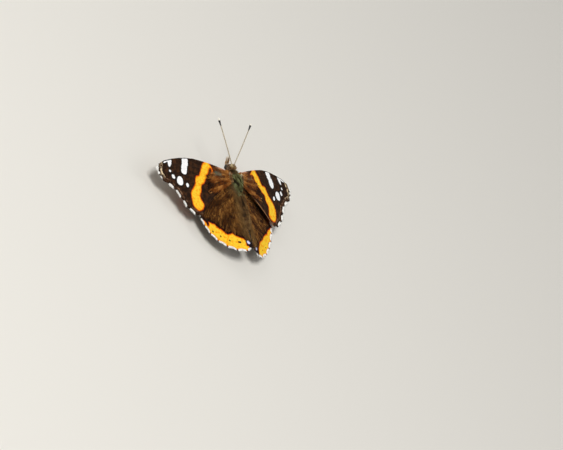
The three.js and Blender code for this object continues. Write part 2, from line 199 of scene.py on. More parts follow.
def show(name: str, data: bpy.types.ID) -> Piece:
    """Puts a mesh, a light or a camera into the scene, as an object.

    Args:
        name: the object's name.
        data: its mesh, light or camera.

    Returns:
        The object.
    """
    made = bpy.data.objects.new(name, data)
    bpy.context.scene.collection.objects.link(made)
    return made


def make_object(
    name: str, points: Array, faces: Sequence[Sequence[int]], attributes: dict[str, Array] | None = None
) -> Piece:
    """Makes a smooth mesh object that stands in its place.

    Args:
        name: the piece's name.
        points: millimetres from the thorax, one in each row.
        faces: the corners of each face, which turn left seen from outside.
        attributes: numbers or vectors for each point, by name.

    Returns:
        The object, linked to the scene.
    """
    mesh = bpy.data.meshes.new(name)
    mesh.from_pydata(to_frame(points).tolist(), [], [list(face) for face in faces])
    for key, values in (attributes or {}).items():
        values = np.asarray(values, np.float32)
        kind, slot = ("FLOAT", "value") if values.ndim == 1 else ("FLOAT_VECTOR", "vector")
        mesh.attributes.new(key, kind, "POINT").data.foreach_set(slot, values.ravel())
    mesh.shade_smooth()
    mesh.update()
    return show(name, mesh)


def wear(piece: Piece, replaced: Sequence[str], finishes: Sequence["Finish"] = ()) -> None:
    """Gives a piece its finishes, its body and the solids that it stands for.

    Args:
        piece: the finished object.
        replaced: names of the solids that it replaces.
        finishes: its materials, in the order of its faces' material numbers.
    """
    for finish in finishes:
        piece.data.materials.append(finish.material())
    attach(piece, BODY)
    if replaced:
        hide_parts(*replaced)
    LOG.info("%s: %d faces", piece.name, len(piece.data.polygons))


# Materials.


def linear(colour: str) -> tuple[float, float, float, float]:
    """A colour written as sRGB hex, in linear light.

    Args:
        colour: such as "#c8a064".

    Returns:
        Red, green, blue and an alpha of one.
    """
    channels = [int(colour[place : place + 2], 16) / 255 for place in (1, 3, 5)]
    parts = [c / 12.92 if c <= 0.04045 else ((c + 0.055) / 1.055) ** 2.4 for c in channels]
    return (parts[0], parts[1], parts[2], 1.0)


def add_node(tree: Tree, kind: str, inputs: dict | None = None, **settings: object) -> Node:
    """Adds a node with its settings and links.

    Args:
        tree: the tree that it goes into.
        kind: Blender's name for the node's type.
        inputs: values, fields or other nodes' sockets, by the input's name or number.
        settings: the node's own options.

    Returns:
        The new node.
    """
    node = tree.nodes.new(kind)
    for option, value in settings.items():
        setattr(node, option, value)
    for key, value in (inputs or {}).items():
        source = value.socket if isinstance(value, Field) else value
        if isinstance(source, Socket):
            tree.links.new(source, node.inputs[key])
        else:
            node.inputs[key].default_value = source
    return node


@dataclass(frozen=True)
class Field:
    """A number that varies over the surface: one output of a material's nodes."""

    socket: Socket

    def worked(self, operation: str, other: "Field | float" = 0.0) -> "Field":
        """The result of one step of arithmetic on this number."""
        made = add_node(self.socket.id_data, "ShaderNodeMath", {0: self, 1: other}, operation=operation)
        return Field(made.outputs[0])

    def __add__(self, other: "Field | float") -> "Field":
        """The sum of two numbers."""
        return self.worked("ADD", other)

    def __sub__(self, other: "Field | float") -> "Field":
        """The difference of two numbers."""
        return self.worked("SUBTRACT", other)

    def __mul__(self, other: "Field | float") -> "Field":
        """The product of two numbers."""
        return self.worked("MULTIPLY", other)

    def __abs__(self) -> "Field":
        """The number without its sign."""
        return self.worked("ABSOLUTE")

    def phase(self, period: float) -> "Field":
        """How far through its period the number is, from 0 to 1."""
        return self.worked("DIVIDE", period).worked("FRACT")

    def rise(self, low: float, high: float, floor: float = 0.0, top: float = 1.0) -> "Field":
        """Eases from floor to top while the number goes from low to high.

        Args:
            low: the number that gives floor.
            high: the number that gives top, which may be below low.
            floor: the lowest result.
            top: the highest result.

        Returns:
            The eased number.
        """
        inputs = {"Value": self, "From Min": low, "From Max": high, "To Min": floor, "To Max": top}
        tree = self.socket.id_data
        return Field(
            add_node(tree, "ShaderNodeMapRange", inputs, interpolation_type="SMOOTHSTEP").outputs["Result"]
        )


class Paint:
    """The nodes of one material: what it reads from the surface, and colours laid over one another."""

    def __init__(self, tree: Tree, ground: str) -> None:
        """Starts with a plain ground, as hex, and a smooth surface.

        Args:
            tree: the material's empty nodes.
            ground: the colour under all the others.
        """
        self.tree = tree
        self.normal: Socket | None = None
        self.cover(ground)

    def cover(self, colour: str) -> None:
        """Covers the whole surface with one colour, as hex."""
        self.colour: object = linear(colour)

    def mix(self, share: Field | float, over: object, way: str = "MIX") -> None:
        """Mixes something over the colour so far, in one of Blender's ways."""
        inputs = {0: share, 6: self.colour, 7: over}
        self.colour = add_node(
            self.tree, "ShaderNodeMix", inputs, data_type="RGBA", blend_type=way
        ).outputs[2]

    def lay(self, mask: Field, colour: str) -> None:
        """Lays a colour, as hex, where the mask is one."""
        self.mix(mask, linear(colour))

    def dim(self, shade: Field) -> None:
        """Multiplies the colour by a grey of about one."""
        self.mix(1.0, shade, "MULTIPLY")

    def measured(self, name: str) -> Field:
        """The number that each point of the mesh carries under a name."""
        return Field(add_node(self.tree, "ShaderNodeAttribute", attribute_name=name).outputs["Fac"])

    def place(self) -> Socket:
        """The place on the butterfly."""
        return add_node(self.tree, "ShaderNodeTexCoord").outputs["Object"]

    def mottle(self, size_mm: float, detail: float = 2.0) -> Field:
        """Cloudy variation of about 0 to 1 in patches of a size, with finer layers in them."""
        inputs = {"Vector": self.place(), "Scale": 1 / (size_mm * MM), "Detail": detail}
        return Field(add_node(self.tree, "ShaderNodeTexNoise", inputs).outputs["Fac"])

    def streaks(self, long_mm: float, wide_mm: float, detail: float) -> Field:
        """Variation of about 0 to 1, drawn out along the wing's own lines from its root to its margin.

        Args:
            long_mm: the length of a streak.
            wide_mm: its width.
            detail: how many finer layers it has.

        Returns:
            The variation.
        """
        lines = add_node(self.tree, "ShaderNodeAttribute", attribute_name="lines").outputs["Vector"]
        inputs = {"Vector": lines, "Scale": (1 / long_mm, 1 / wide_mm, 1.0)}
        drawn = add_node(self.tree, "ShaderNodeMapping", inputs).outputs[0]
        inputs = {"Vector": drawn, "Scale": 1.0, "Detail": detail}
        return Field(add_node(self.tree, "ShaderNodeTexNoise", inputs).outputs["Fac"])

    def ragged(self, name: str, rough_mm: float = 0.35) -> Field:
        """A measured depth whose zero line wanders by about a scale, as the edge of a marking does."""
        return self.measured(name) + (self.mottle(0.55, 3.0) - 0.5) * rough_mm

    def emboss(self, height: Field, height_mm: float, strength: float, sunk: bool = False) -> None:
        """Raises the surface where a number is high, or sinks it there."""
        inputs = {"Height": height, "Strength": strength, "Distance": height_mm * MM}
        self.normal = add_node(self.tree, "ShaderNodeBump", inputs, invert=sunk).outputs["Normal"]

    def scales(self, size_mm: float, height_mm: float, strength: float, domed: bool = False) -> Field:
        """Breaks the surface into small cells, such as scales or facets.

        Args:
            size_mm: the width of a cell.
            height_mm: how high it stands.
            strength: how clearly it shows.
            domed: whether the cells' middles stand out, and not their edges.

        Returns:
            A number of 0 to 1 that differs from cell to cell.
        """
        inputs = {"Vector": self.place(), "Scale": 1 / (size_mm * MM)}
        cells = add_node(self.tree, "ShaderNodeTexVoronoi", inputs).outputs
        self.emboss(Field(cells["Distance"]), height_mm, strength, sunk=domed)
        return Field(cells["Color"])


@dataclass(frozen=True)
class Finish:
    """A finish of the butterfly. Its material is made once and shared."""

    name: str = "finish"
    ground: str = "#808080"
    roughness: float = 0.5
    specular: float = 0.5
    coat: float = 0.0
    coat_roughness: float = 0.03

    def material(self) -> bpy.types.Material:
        """The material, made when it is first asked for.

        Returns:
            The material.
        """
        found = bpy.data.materials.get(self.name)
        if found:
            return found
        made = bpy.data.materials.new(self.name)
        made.use_nodes = True
        made.node_tree.nodes.clear()
        paint = Paint(made.node_tree, self.ground)
        self.dress(paint)
        look = {
            "Base Color": paint.colour, "Roughness": self.roughness, "Specular IOR Level": self.specular,
            "Coat Weight": self.coat, "Coat Roughness": self.coat_roughness
        }
        if paint.normal:
            look["Normal"] = paint.normal
        shader = add_node(paint.tree, "ShaderNodeBsdfPrincipled", look)
        add_node(paint.tree, "ShaderNodeOutputMaterial", {"Surface": shader.outputs[0]})
        return made

    def dress(self, paint: Paint) -> None:
        """Lays the finish's own colours and relief over its ground."""


class WingSide(Enum):
    """The four painted faces of the wings."""

    FOREWING_ABOVE = "forewing_above"
    FOREWING_BELOW = "forewing_below"
    HINDWING_ABOVE = "hindwing_above"
    HINDWING_BELOW = "hindwing_below"


@dataclass(frozen=True)
class WingScales(Finish):
    """Wing scales: a dust of overlapping flat scales, matt, with a faint satin and a fine grain.

    The scales are about 0.1 mm long, and are drawn at 0.17 mm so that their grain shows.
    """

    roughness: float = 0.7
    specular: float = 0.1
    side: WingSide = WingSide.FOREWING_ABOVE
    grain_mm: float = 0.17

    def dress(self, paint: Paint) -> None:
        """Paints the markings of the face, and breaks them with the grain of the scales.

        Args:
            paint: the material's paint.
        """
        painters = {
            WingSide.FOREWING_ABOVE: self.forewing_above, WingSide.FOREWING_BELOW: self.forewing_below,
            WingSide.HINDWING_ABOVE: self.hindwing_above, WingSide.HINDWING_BELOW: self.hindwing_below
        }
        painters[self.side](paint)
        paint.dim(paint.scales(self.grain_mm, 0.02, 0.45).rise(0.0, 1.0, 0.88, 1.08))

    def forewing_above(self, paint: Paint) -> None:
        """The forewing from above: black and brown, with the orange band and the white spots.

        Args:
            paint: the material's paint.
        """
        along, front = paint.measured("along"), paint.measured("front")
        paint.cover("#221206")
        paint.lay(paint.mottle(1.1, 3.0).rise(0.42, 0.68, 0.0, 0.8), "#4c2c14")
        streak = paint.streaks(3.4, 0.3, 3.0)
        basal = (along + streak * 0.12).rise(0.52, 0.26)
        paint.lay(basal, "#552c11")
        paint.lay(basal * streak.rise(0.5, 0.66), "#a8682e")
        paint.lay(paint.measured("vein").rise(0.2, 0.06) * 0.3, "#4a3020")
        rear = paint.measured("rear").rise(0.4, 0.1, 0.0, 0.8)
        paint.lay(rear * paint.measured("rear_line"), "#b5835a")
        self.margin_lines(paint, "#8e6a50", "#efd8ae")
        paint.lay(paint.ragged("grey", 0.9).rise(-0.5, 0.5, 0.0, 0.85), "#868c76")
        costa = front.rise(0.8, 0.4) * along.rise(0.36, 0.28)
        paint.lay(costa * front.rise(0.0, 0.25, 0.5, 1.0), "#c58a66")
        self.orange(paint, paint.ragged("band", 0.5))
        white = paint.ragged("white", 0.26)
        paint.lay(white.rise(-0.45, -0.2), "#0c0704")
        paint.lay(white.rise(-0.05, 0.06), "#fdfcfa")
        paint.lay(paint.ragged("fleck", 0.2).rise(-0.05, 0.1), "#e8b472")
        paint.lay(self.fringe_base(paint), "#f6f1e6")

    def orange(self, paint: Paint, band: Field) -> None:
        """Lays the orange of a band, by the depth inside it: a red rim, and yellow patches in its middle that
        are painted highlight.

        Args:
            paint: the material's paint.
            band: the depth inside the band, in millimetres.
        """
        paint.lay(band.rise(-0.14, 0.02), "#c23a05")
        paint.lay(band.rise(0.04, 0.3), "#ffa108")
        # Painted highlight: mottled yellow patches in the band's middle stand in for sunlight on the orange.
        paint.lay(band.rise(0.2, 0.65) * paint.mottle(0.9, 3.0).rise(0.32, 0.52), "#ffcf33")

    def forewing_below(self, paint: Paint) -> None:
        """The forewing from below: the same band and spots, paler, with a blue line and a mottled tip.

        Args:
            paint: the material's paint.
        """
        along, front = paint.measured("along"), paint.measured("front")
        paint.cover("#2a1c14")
        paint.lay(along.rise(0.55, 0.2), "#4c3524")
        tip = along.rise(0.66, 0.84)
        paint.lay(tip, "#6b5238")
        paint.lay(tip * paint.mottle(1.1, 3.0).rise(0.45, 0.6), "#9a8262")
        paint.lay(tip * paint.mottle(0.7, 2.0).rise(0.58, 0.68), "#3a2a1e")
        blue = front.rise(1.8, 1.1) * front.rise(0.5, 0.9)
        paint.lay(blue * (along.rise(0.36, 0.42) * along.rise(0.56, 0.5)), "#6f8fae")
        self.margin_lines(paint, "#a98a66", "#a98a66")
        band = paint.ragged("band")
        paint.lay(band.rise(-0.1, 0.25), "#d9542a")
        paint.lay(band.rise(0.35, 0.9), "#ef8a4c")
        paint.lay(paint.ragged("white", 0.25).rise(-0.05, 0.12), "#efe6d6")
        paint.lay(self.fringe_base(paint), "#e6dcc8")

    def hindwing_above(self, paint: Paint) -> None:
        """The hindwing from above: brown under its hair, with an orange border, dark dots and a lilac spot.

        Args:
            paint: the material's paint.
        """
        paint.cover("#42240f")
        streak = paint.streaks(4.5, 0.3, 3.0)
        paint.lay(streak.rise(0.48, 0.66, 0.0, 0.8), "#7d4a20")
        paint.lay(streak.rise(0.42, 0.3, 0.0, 0.7), "#1e1008")
        paint.lay(paint.ragged("band", 0.8).rise(-1.7, -0.35), "#150c07")
        self.orange(paint, paint.ragged("band", 0.7))
        paint.lay(paint.ragged("dots", 0.16).rise(-0.06, 0.08), "#5a1a08")
        paint.lay(paint.ragged("corner", 0.35).rise(-0.1, 0.15), "#140b10")
        paint.lay(paint.ragged("lilac", 0.16).rise(-0.06, 0.1), "#d9d6f4")
        paint.lay(paint.measured("along").rise(0.1, 0.02, 0.0, 0.5), "#5b4a2f")
        paint.lay(self.fringe_base(paint), "#f4efe4")

    def hindwing_below(self, paint: Paint) -> None:
        """The hindwing from below: bark-like browns and greys with faint rings near the margin.

        Args:
            paint: the material's paint.
        """
        paint.cover("#4a3828")
        paint.lay(paint.mottle(2.4, 4.0).rise(0.47, 0.6), "#6f5a44")
        paint.lay(paint.mottle(1.3, 4.0).rise(0.55, 0.66), "#2c2018")
        paint.lay(paint.mottle(0.9, 3.0).rise(0.62, 0.7), "#8f8071")
        paint.lay(paint.measured("vein").rise(0.22, 0.05, 0.0, 0.6), "#8a7354")
        patch = paint.measured("front").rise(2.6, 1.6) * paint.measured("edge").rise(2.0, 4.0)
        paint.lay(patch * paint.mottle(1.4).rise(0.4, 0.55), "#b7a888")
        rings = paint.measured("dots")
        paint.lay(rings.rise(-0.75, -0.45), "#8f8f5e")
        paint.lay(rings.rise(-0.4, -0.1), "#2d2a33")
        self.margin_lines(paint, "#a8906c", "#a8906c")
        paint.lay(self.fringe_base(paint), "#d9cdb6")

    def margin_lines(self, paint: Paint, colour: str, bright: str) -> None:
        """Lays the pale broken lines that follow the outer margin.

        Args:
            paint: the material's paint.
            colour: the lines' colour.
            bright: their colour where they are strongest.
        """
        wavy = paint.ragged("edge", 0.4)
        broken = paint.mottle(0.7, 3.0).rise(0.43, 0.53)
        lined = paint.measured("lined")
        for place, half, strength in ((1.0, 0.27, 1.0), (0.42, 0.1, 0.3)):
            line = abs(wavy - place).rise(half + 0.08, half - 0.06) * broken * (lined * strength)
            paint.lay(line, colour)
            paint.lay(line * lined.rise(0.75, 1.0), bright)

    def fringe_base(self, paint: Paint) -> Field:
        """Where the pale patches of the fringe begin on the membrane."""
        return paint.ragged("edge", 0.2).rise(0.34, 0.2) * paint.measured("pale").rise(0.35, 0.6)


@dataclass(frozen=True)
class HairFinish(Finish):
    """Hair-like scales in a coat: soft and matt."""

    roughness: float = 0.6
    specular: float = 0.2
    middle: str = "#6b4524"
    light: str = "#a97840"
    second: str = "#4a2c16"

    def dress(self, paint: Paint) -> None:
        """Lightens the tufts by their tint and towards their tips, and lays their second colour by hue.

        Args:
            paint: the material's paint.
        """
        shade = paint.measured("tint") + (paint.measured("reach") - 0.5) * 0.3
        paint.lay(shade.rise(0.1, 0.5), self.middle)
        paint.lay(shade.rise(0.5, 1.0), self.light)
        paint.lay(paint.measured("hue").rise(0.0, 1.0), self.second)
        paint.dim(paint.mottle(0.4).rise(0.25, 0.75, 0.82, 1.12))


@dataclass(frozen=True)
class FloorFinish(Finish):
    """A plain pale studio floor: painted board, matt and even."""

    name: str = "painted_board_floor"
    ground: str = "#e7e3da"
    roughness: float = 0.8


# Coats of tufts.


@dataclass(frozen=True)
class TuftShape:
    """One tuft of hair-like scales: a few tapered strands from one root, each a thin closed spike.

    It lies along +Z with a length of one, and rises from the skin towards +X.
    """

    strands: int = 3
    width: float = 0.045  # half width of a strand, as a share of its length
    flatness: float = 0.55
    parting: float = 0.1  # how far the strands' tips part
    arch: float = 0.07  # how far a strand rises in its middle
    rings: tuple[float, ...] = (0.0, 0.38, 0.74)
    taper: float = 0.8

    def build(self) -> Piece:
        """Builds the tuft, which carries its own unwrap and how far along each point lies.

        Returns:
            An object that the coats' tree repeats.
        """
        points, faces, patches, reach = [], [], [], []
        for strand in range(self.strands):
            aside = strand - (self.strands - 1) / 2
            long = 1 - 0.16 * abs(aside) - 0.07 * (strand % 2)
            start = len(points)
            for share in (*self.rings, 1.0):
                middle = (
                    self.arch * math.sin(math.pi * share) + 0.03 * aside * share,
                    aside * (0.8 * self.width + self.parting * share**1.5), long * share
                )
                half = self.width * (1 - share) ** self.taper
                turns = range(3) if share < 1 else range(1)
                for corner in turns:
                    turn = corner / 3 * 2 * math.pi
                    over = half * self.flatness * math.cos(turn) if share < 1 else 0.0
                    side = half * math.sin(turn) if share < 1 else 0.0
                    points.append((middle[0] + over, middle[1] + side, middle[2]))
                    reach.append(share)
            tip = start + 3 * len(self.rings)
            levels = (*self.rings, 1.0)
            column = 1 / self.strands

            def patch(side: float, share: float) -> Point2:
                """A place on the tuft's unwrap, where each strand has its own column."""
                return (strand * column + column * (0.06 + 0.88 * side / 3), 0.12 + 0.86 * share)

            for ring, (low, high) in enumerate(zip(levels[:-1], levels[1:])):
                for side in range(3):
                    a = start + 3 * ring + side
                    b = start + 3 * ring + (side + 1) % 3
                    patches += [patch(side, low), patch(side + 1, low)]
                    if high < 1:
                        faces.append((a, b, b + 3, a + 3))
                        patches += [patch(side + 1, high), patch(side, high)]
                    else:
                        faces.append((a, b, tip))
                        patches.append(patch(side + 0.5, high))
            faces.append((start + 2, start + 1, start))
            column_start = strand * column + column * 0.06
            patches += [(column_start, 0.02), (column_start + column * 0.4, 0.02), (column_start, 0.09)]
        mesh = bpy.data.meshes.new("tuft")
        mesh.from_pydata(points, [], faces)
        mesh.attributes.new("strand_uv", "FLOAT2", "CORNER").data.foreach_set("vector", np.ravel(patches))
        mesh.attributes.new("reach", "FLOAT", "POINT").data.foreach_set("value", reach)
        mesh.shade_smooth()
        return show("tuft", mesh)


@dataclass
class Roots:
    """Where tufts grow: places on a skin, with the lie of the coat there."""

    points: Array  # millimetres from the thorax
    outward: Array
    lie: Array
    length: Array  # millimetres
    tint: Array  # 0 dark to 1 light
    hue: Array  # 0 for the coat's own colour, 1 for its second one
    unwrap: Array  # place on the skin's unwrap, 0 to 1 each way

    def where(self, kept: Array) -> "Roots":
        """Only the roots for which kept is true."""
        return Roots(*(part[kept] for part in vars(self).values()))

    def turned(self, side: Side) -> "Roots":
        """The roots of the right side, as they lie on one side of the body."""
        return replace(self, **{key: side.turned(getattr(self, key)) for key in ("points", "outward", "lie")})


def jittered_grid(rows: int, columns: int, random: np.random.Generator, loose: float = 0.34) -> Array:
    """Scattered places in a unit square, no two closer than a third of a cell.

    Args:
        rows: cells along the first side.
        columns: cells along the second side.
        random: the seeded source of the scatter.
        loose: how far a place may leave the middle of its cell.

    Returns:
        Places, one in each row.
    """
    first, second = np.meshgrid(np.arange(rows) + 0.5, np.arange(columns) + 0.5, indexing="ij")
    cells = np.stack([first.ravel(), second.ravel()], -1)
    cells += random.uniform(-loose, loose, cells.shape)
    return cells / (rows, columns)


def soft_noise(places: Array, seed: int, waves: int = 9) -> Array:
    """Smooth variation of about 0 to 1 over places, with features about one unit across.

    Args:
        places: two or three coordinates in each row, in units of the feature size.
        seed: fixes the pattern.
        waves: how many waves are added up.

    Returns:
        One number for each place.
    """
    random = np.random.default_rng(seed)
    total = np.zeros(len(places))
    for _ in range(waves):
        direction = random.normal(size=places.shape[1]) * 2.6
        total += np.sin(places @ direction + random.uniform(0, 2 * math.pi))
    return np.clip(0.5 + total / math.sqrt(waves) * 0.35, 0, 1)


def inset_unwrap(places: Array) -> Array:
    """Places on an unwrap, drawn in from its edges so that no tuft's patch leaves it."""
    return 0.01 + 0.98 * places


class CoatTree:
    """The Geometry Nodes tree that sets a tuft on every root and turns them all into one mesh."""

    NAME = "coat_of_tufts"
    GEOMETRY = ("Geometry", "NodeSocketGeometry")
    INPUTS = (
        ("Tuft", "NodeSocketObject"), ("Finish", "NodeSocketMaterial"),
        ("Length Spread", "NodeSocketFloat"), ("Turn Spread", "NodeSocketFloat"),
        ("Patch", "NodeSocketFloat"), ("Seed", "NodeSocketInt")
    )

    @classmethod
    def tree(cls) -> Tree:
        """The tree, made when it is first asked for.

        Returns:
            The tree.
        """
        found = bpy.data.node_groups.get(cls.NAME)
        if found:
            return found
        tree = bpy.data.node_groups.new(cls.NAME, "GeometryNodeTree")
        for name, kind in (cls.GEOMETRY, *cls.INPUTS):
            tree.interface.new_socket(name, in_out="INPUT", socket_type=kind)
        tree.interface.new_socket(cls.GEOMETRY[0], in_out="OUTPUT", socket_type=cls.GEOMETRY[1])
        given = add_node(tree, "NodeGroupInput").outputs

        def made(kind: str, inputs: dict, **settings: object) -> Socket:
            """The first output of a new node."""
            return add_node(tree, kind, inputs, **settings).outputs[0]

        def carried(name: str, kind: str = "FLOAT_VECTOR") -> Socket:
            """What each root, or each corner of a tuft, carries under a name."""
            return made("GeometryNodeInputNamedAttribute", {"Name": name}, data_type=kind)

        limits = {2: 1.0, 3: 1.0, "Seed": given["Seed"]}
        for key, way in ((2, "SUBTRACT"), (3, "ADD")):
            limits[key] = made("ShaderNodeMath", {0: 1.0, 1: given["Length Spread"]}, operation=way)
        spread = add_node(tree, "FunctionNodeRandomValue", limits, data_type="FLOAT").outputs[1]
        size = made("ShaderNodeMath", {0: carried("size", "FLOAT"), 1: spread}, operation="MULTIPLY")
        axes = {"Primary Axis": carried("lie"), "Secondary Axis": carried("rise")}
        lying = made("FunctionNodeAxesToRotation", axes, primary_axis="Z", secondary_axis="X")
        limits = {0: (-1.0, -1.0, -1.0), 1: (1.0, 1.0, 1.0), "Seed": given["Seed"]}
        swing = made("FunctionNodeRandomValue", limits, data_type="FLOAT_VECTOR")
        swing = made("ShaderNodeVectorMath", {0: swing, "Scale": given["Turn Spread"]}, operation="SCALE")
        turned = made(
            "FunctionNodeRotateRotation", {"Rotation": lying, "Rotate By": swing}, rotation_space="LOCAL"
        )
        tuft = add_node(tree, "GeometryNodeObjectInfo", {"Object": given["Tuft"]}).outputs["Geometry"]
        placing = {"Points": given["Geometry"], "Instance": tuft, "Rotation": turned, "Scale": size}
        real = made(
            "GeometryNodeRealizeInstances", {"Geometry": made("GeometryNodeInstanceOnPoints", placing)}
        )
        patch = made("ShaderNodeVectorMath", {0: carried("strand_uv"), 1: (-0.5, -0.5, 0.0)}, operation="ADD")
        patch = made("ShaderNodeVectorMath", {0: patch, "Scale": given["Patch"]}, operation="SCALE")
        place = made("ShaderNodeVectorMath", {0: carried("root_uv"), 1: patch}, operation="ADD")
        stored = made(
            "GeometryNodeStoreNamedAttribute", {"Geometry": real, "Name": "OFBake", "Value": place},
            data_type="FLOAT2", domain="CORNER"
        )
        finished = made("GeometryNodeSetMaterial", {"Geometry": stored, "Material": given["Finish"]})
        add_node(tree, "NodeGroupOutput", {0: finished})
        return tree


@dataclass
class Coat:
    """A coat of tufts on one skin, as one piece."""

    name: str
    slot: str
    finish: Finish
    tuft: TuftShape = field(default_factory=TuftShape)
    length_spread: float = 0.25
    turn_spread: float = 0.16
    seed: int = 1
    scratch: tuple[str, ...] = ("lie", "rise", "size", "root_uv", "strand_uv")

    def build(self, roots: Roots) -> None:
        """Sets a tuft on every root and dresses the coat.

        Args:
            roots: where the tufts grow.
        """
        count = len(roots.points)
        attributes = {
            "lie": roots.lie, "rise": roots.outward, "size": roots.length * MM, "tint": roots.tint,
            "hue": roots.hue, "root_uv": np.column_stack([roots.unwrap, np.zeros(count)])
        }
        carrier = make_object(f"{self.name}_roots", roots.points, [], attributes)
        tuft = self.tuft.build()
        modifier = carrier.modifiers.new("tufts", "NODES")
        modifier.node_group = CoatTree.tree()
        given = {
            "Tuft": tuft, "Finish": self.finish.material(), "Length Spread": self.length_spread,
            "Turn Spread": self.turn_spread, "Patch": BAKE_PATCH, "Seed": self.seed
        }
        for item in modifier.node_group.interface.items_tree:
            if item.in_out == "INPUT" and item.name in given:
                modifier[item.identifier] = given[item.name]
        bpy.context.view_layer.update()
        evaluated = carrier.evaluated_get(bpy.context.evaluated_depsgraph_get())
        mesh = bpy.data.meshes.new_from_object(evaluated)
        mesh.name = self.name
        carrier.modifiers.clear()
        for name in self.scratch:
            if name in mesh.attributes:
                mesh.attributes.remove(mesh.attributes[name])
        for helper in (carrier, tuft):
            data = helper.data
            bpy.data.objects.remove(helper)
            bpy.data.meshes.remove(data)
        wear(show(self.name, mesh), [])


# Wings.


@dataclass(frozen=True)
class Vein:
    """A vein of a right wing in plan. It starts on the root, or leaves other veins part of the way."""

    end: Point2
    bow: float
    start: Point2 | None = None
    leaves: tuple[str, ...] = ()
    at: float = 0.0


@dataclass(frozen=True)
class Spot:
    """A rounded mark: a short stroke of even width, which is a disc where it has no length."""

    start: Point2
    end: Point2
    radius: float

    def depth(self, points: Array) -> Array:
        """How deep plan points lie inside the mark, below zero outside it."""
        distance, _ = distance_to_path(points, np.array([self.start, self.end], float))
        return self.radius - distance


def deepest(points: Array, spots: Sequence[Spot]) -> Array:
    """The greatest depth that plan points have inside any of several marks."""
    return np.max([spot.depth(points) for spot in spots], axis=0)


FOREWING_VEINS = {
    "subcosta": Vein((19.5, 5.9), 0.3, start=(1.4, 1.7)),
    "radius1": Vein((22.3, 5.75), 0.2, leaves=("radius",), at=0.38),
    "radius2": Vein((25.2, 5.4), 0.2, leaves=("radius",), at=0.5),
    "radius3": Vein((28.5, 4.75), 0.1, leaves=("radius",), at=0.74),
    "radius": Vein((30.9, 3.7), 0.7, start=(1.4, 1.2)),
    "radius5": Vein((32.0, 2.2), 0.0, leaves=("radius",), at=0.66),
    "media1": Vein((31.6, 0.3), 0.2, leaves=("radius",), at=0.56),
    "media2": Vein((30.5, -1.5), 0.2, leaves=("radius", "cubitus"), at=0.57),
    "media3": Vein((26.4, -3.5), 0.8, leaves=("cubitus",), at=0.6),
    "cubitus": Vein((24.6, -6.05), 2.0, start=(1.4, 0.6)),
    "cubitus2": Vein((22.9, -8.6), 0.9, leaves=("cubitus",), at=0.42),
    "anal": Vein((19.6, -10.75), 1.6, start=(1.4, 0.05)),
}
HINDWING_VEINS = {
    "subcosta": Vein((17.1, -8.6), 2.7, start=(1.3, -1.45)),
    "radius": Vein((17.3, -10.9), 1.8, start=(1.3, -1.8)),
    "media1": Vein((16.6, -13.2), 0.4, leaves=("radius",), at=0.4),
    "media2": Vein((15.3, -15.7), 0.3, leaves=("radius", "cubitus"), at=0.4),
    "media3": Vein((13.1, -17.9), 0.3, leaves=("cubitus",), at=0.4),
    "cubitus": Vein((10.2, -19.6), 0.9, start=(1.3, -2.1)),
    "cubitus2": Vein((6.9, -20.8), 0.4, leaves=("cubitus",), at=0.28),
    "anal": Vein((3.5, -21.25), 1.0, start=(1.3, -2.45)),
}


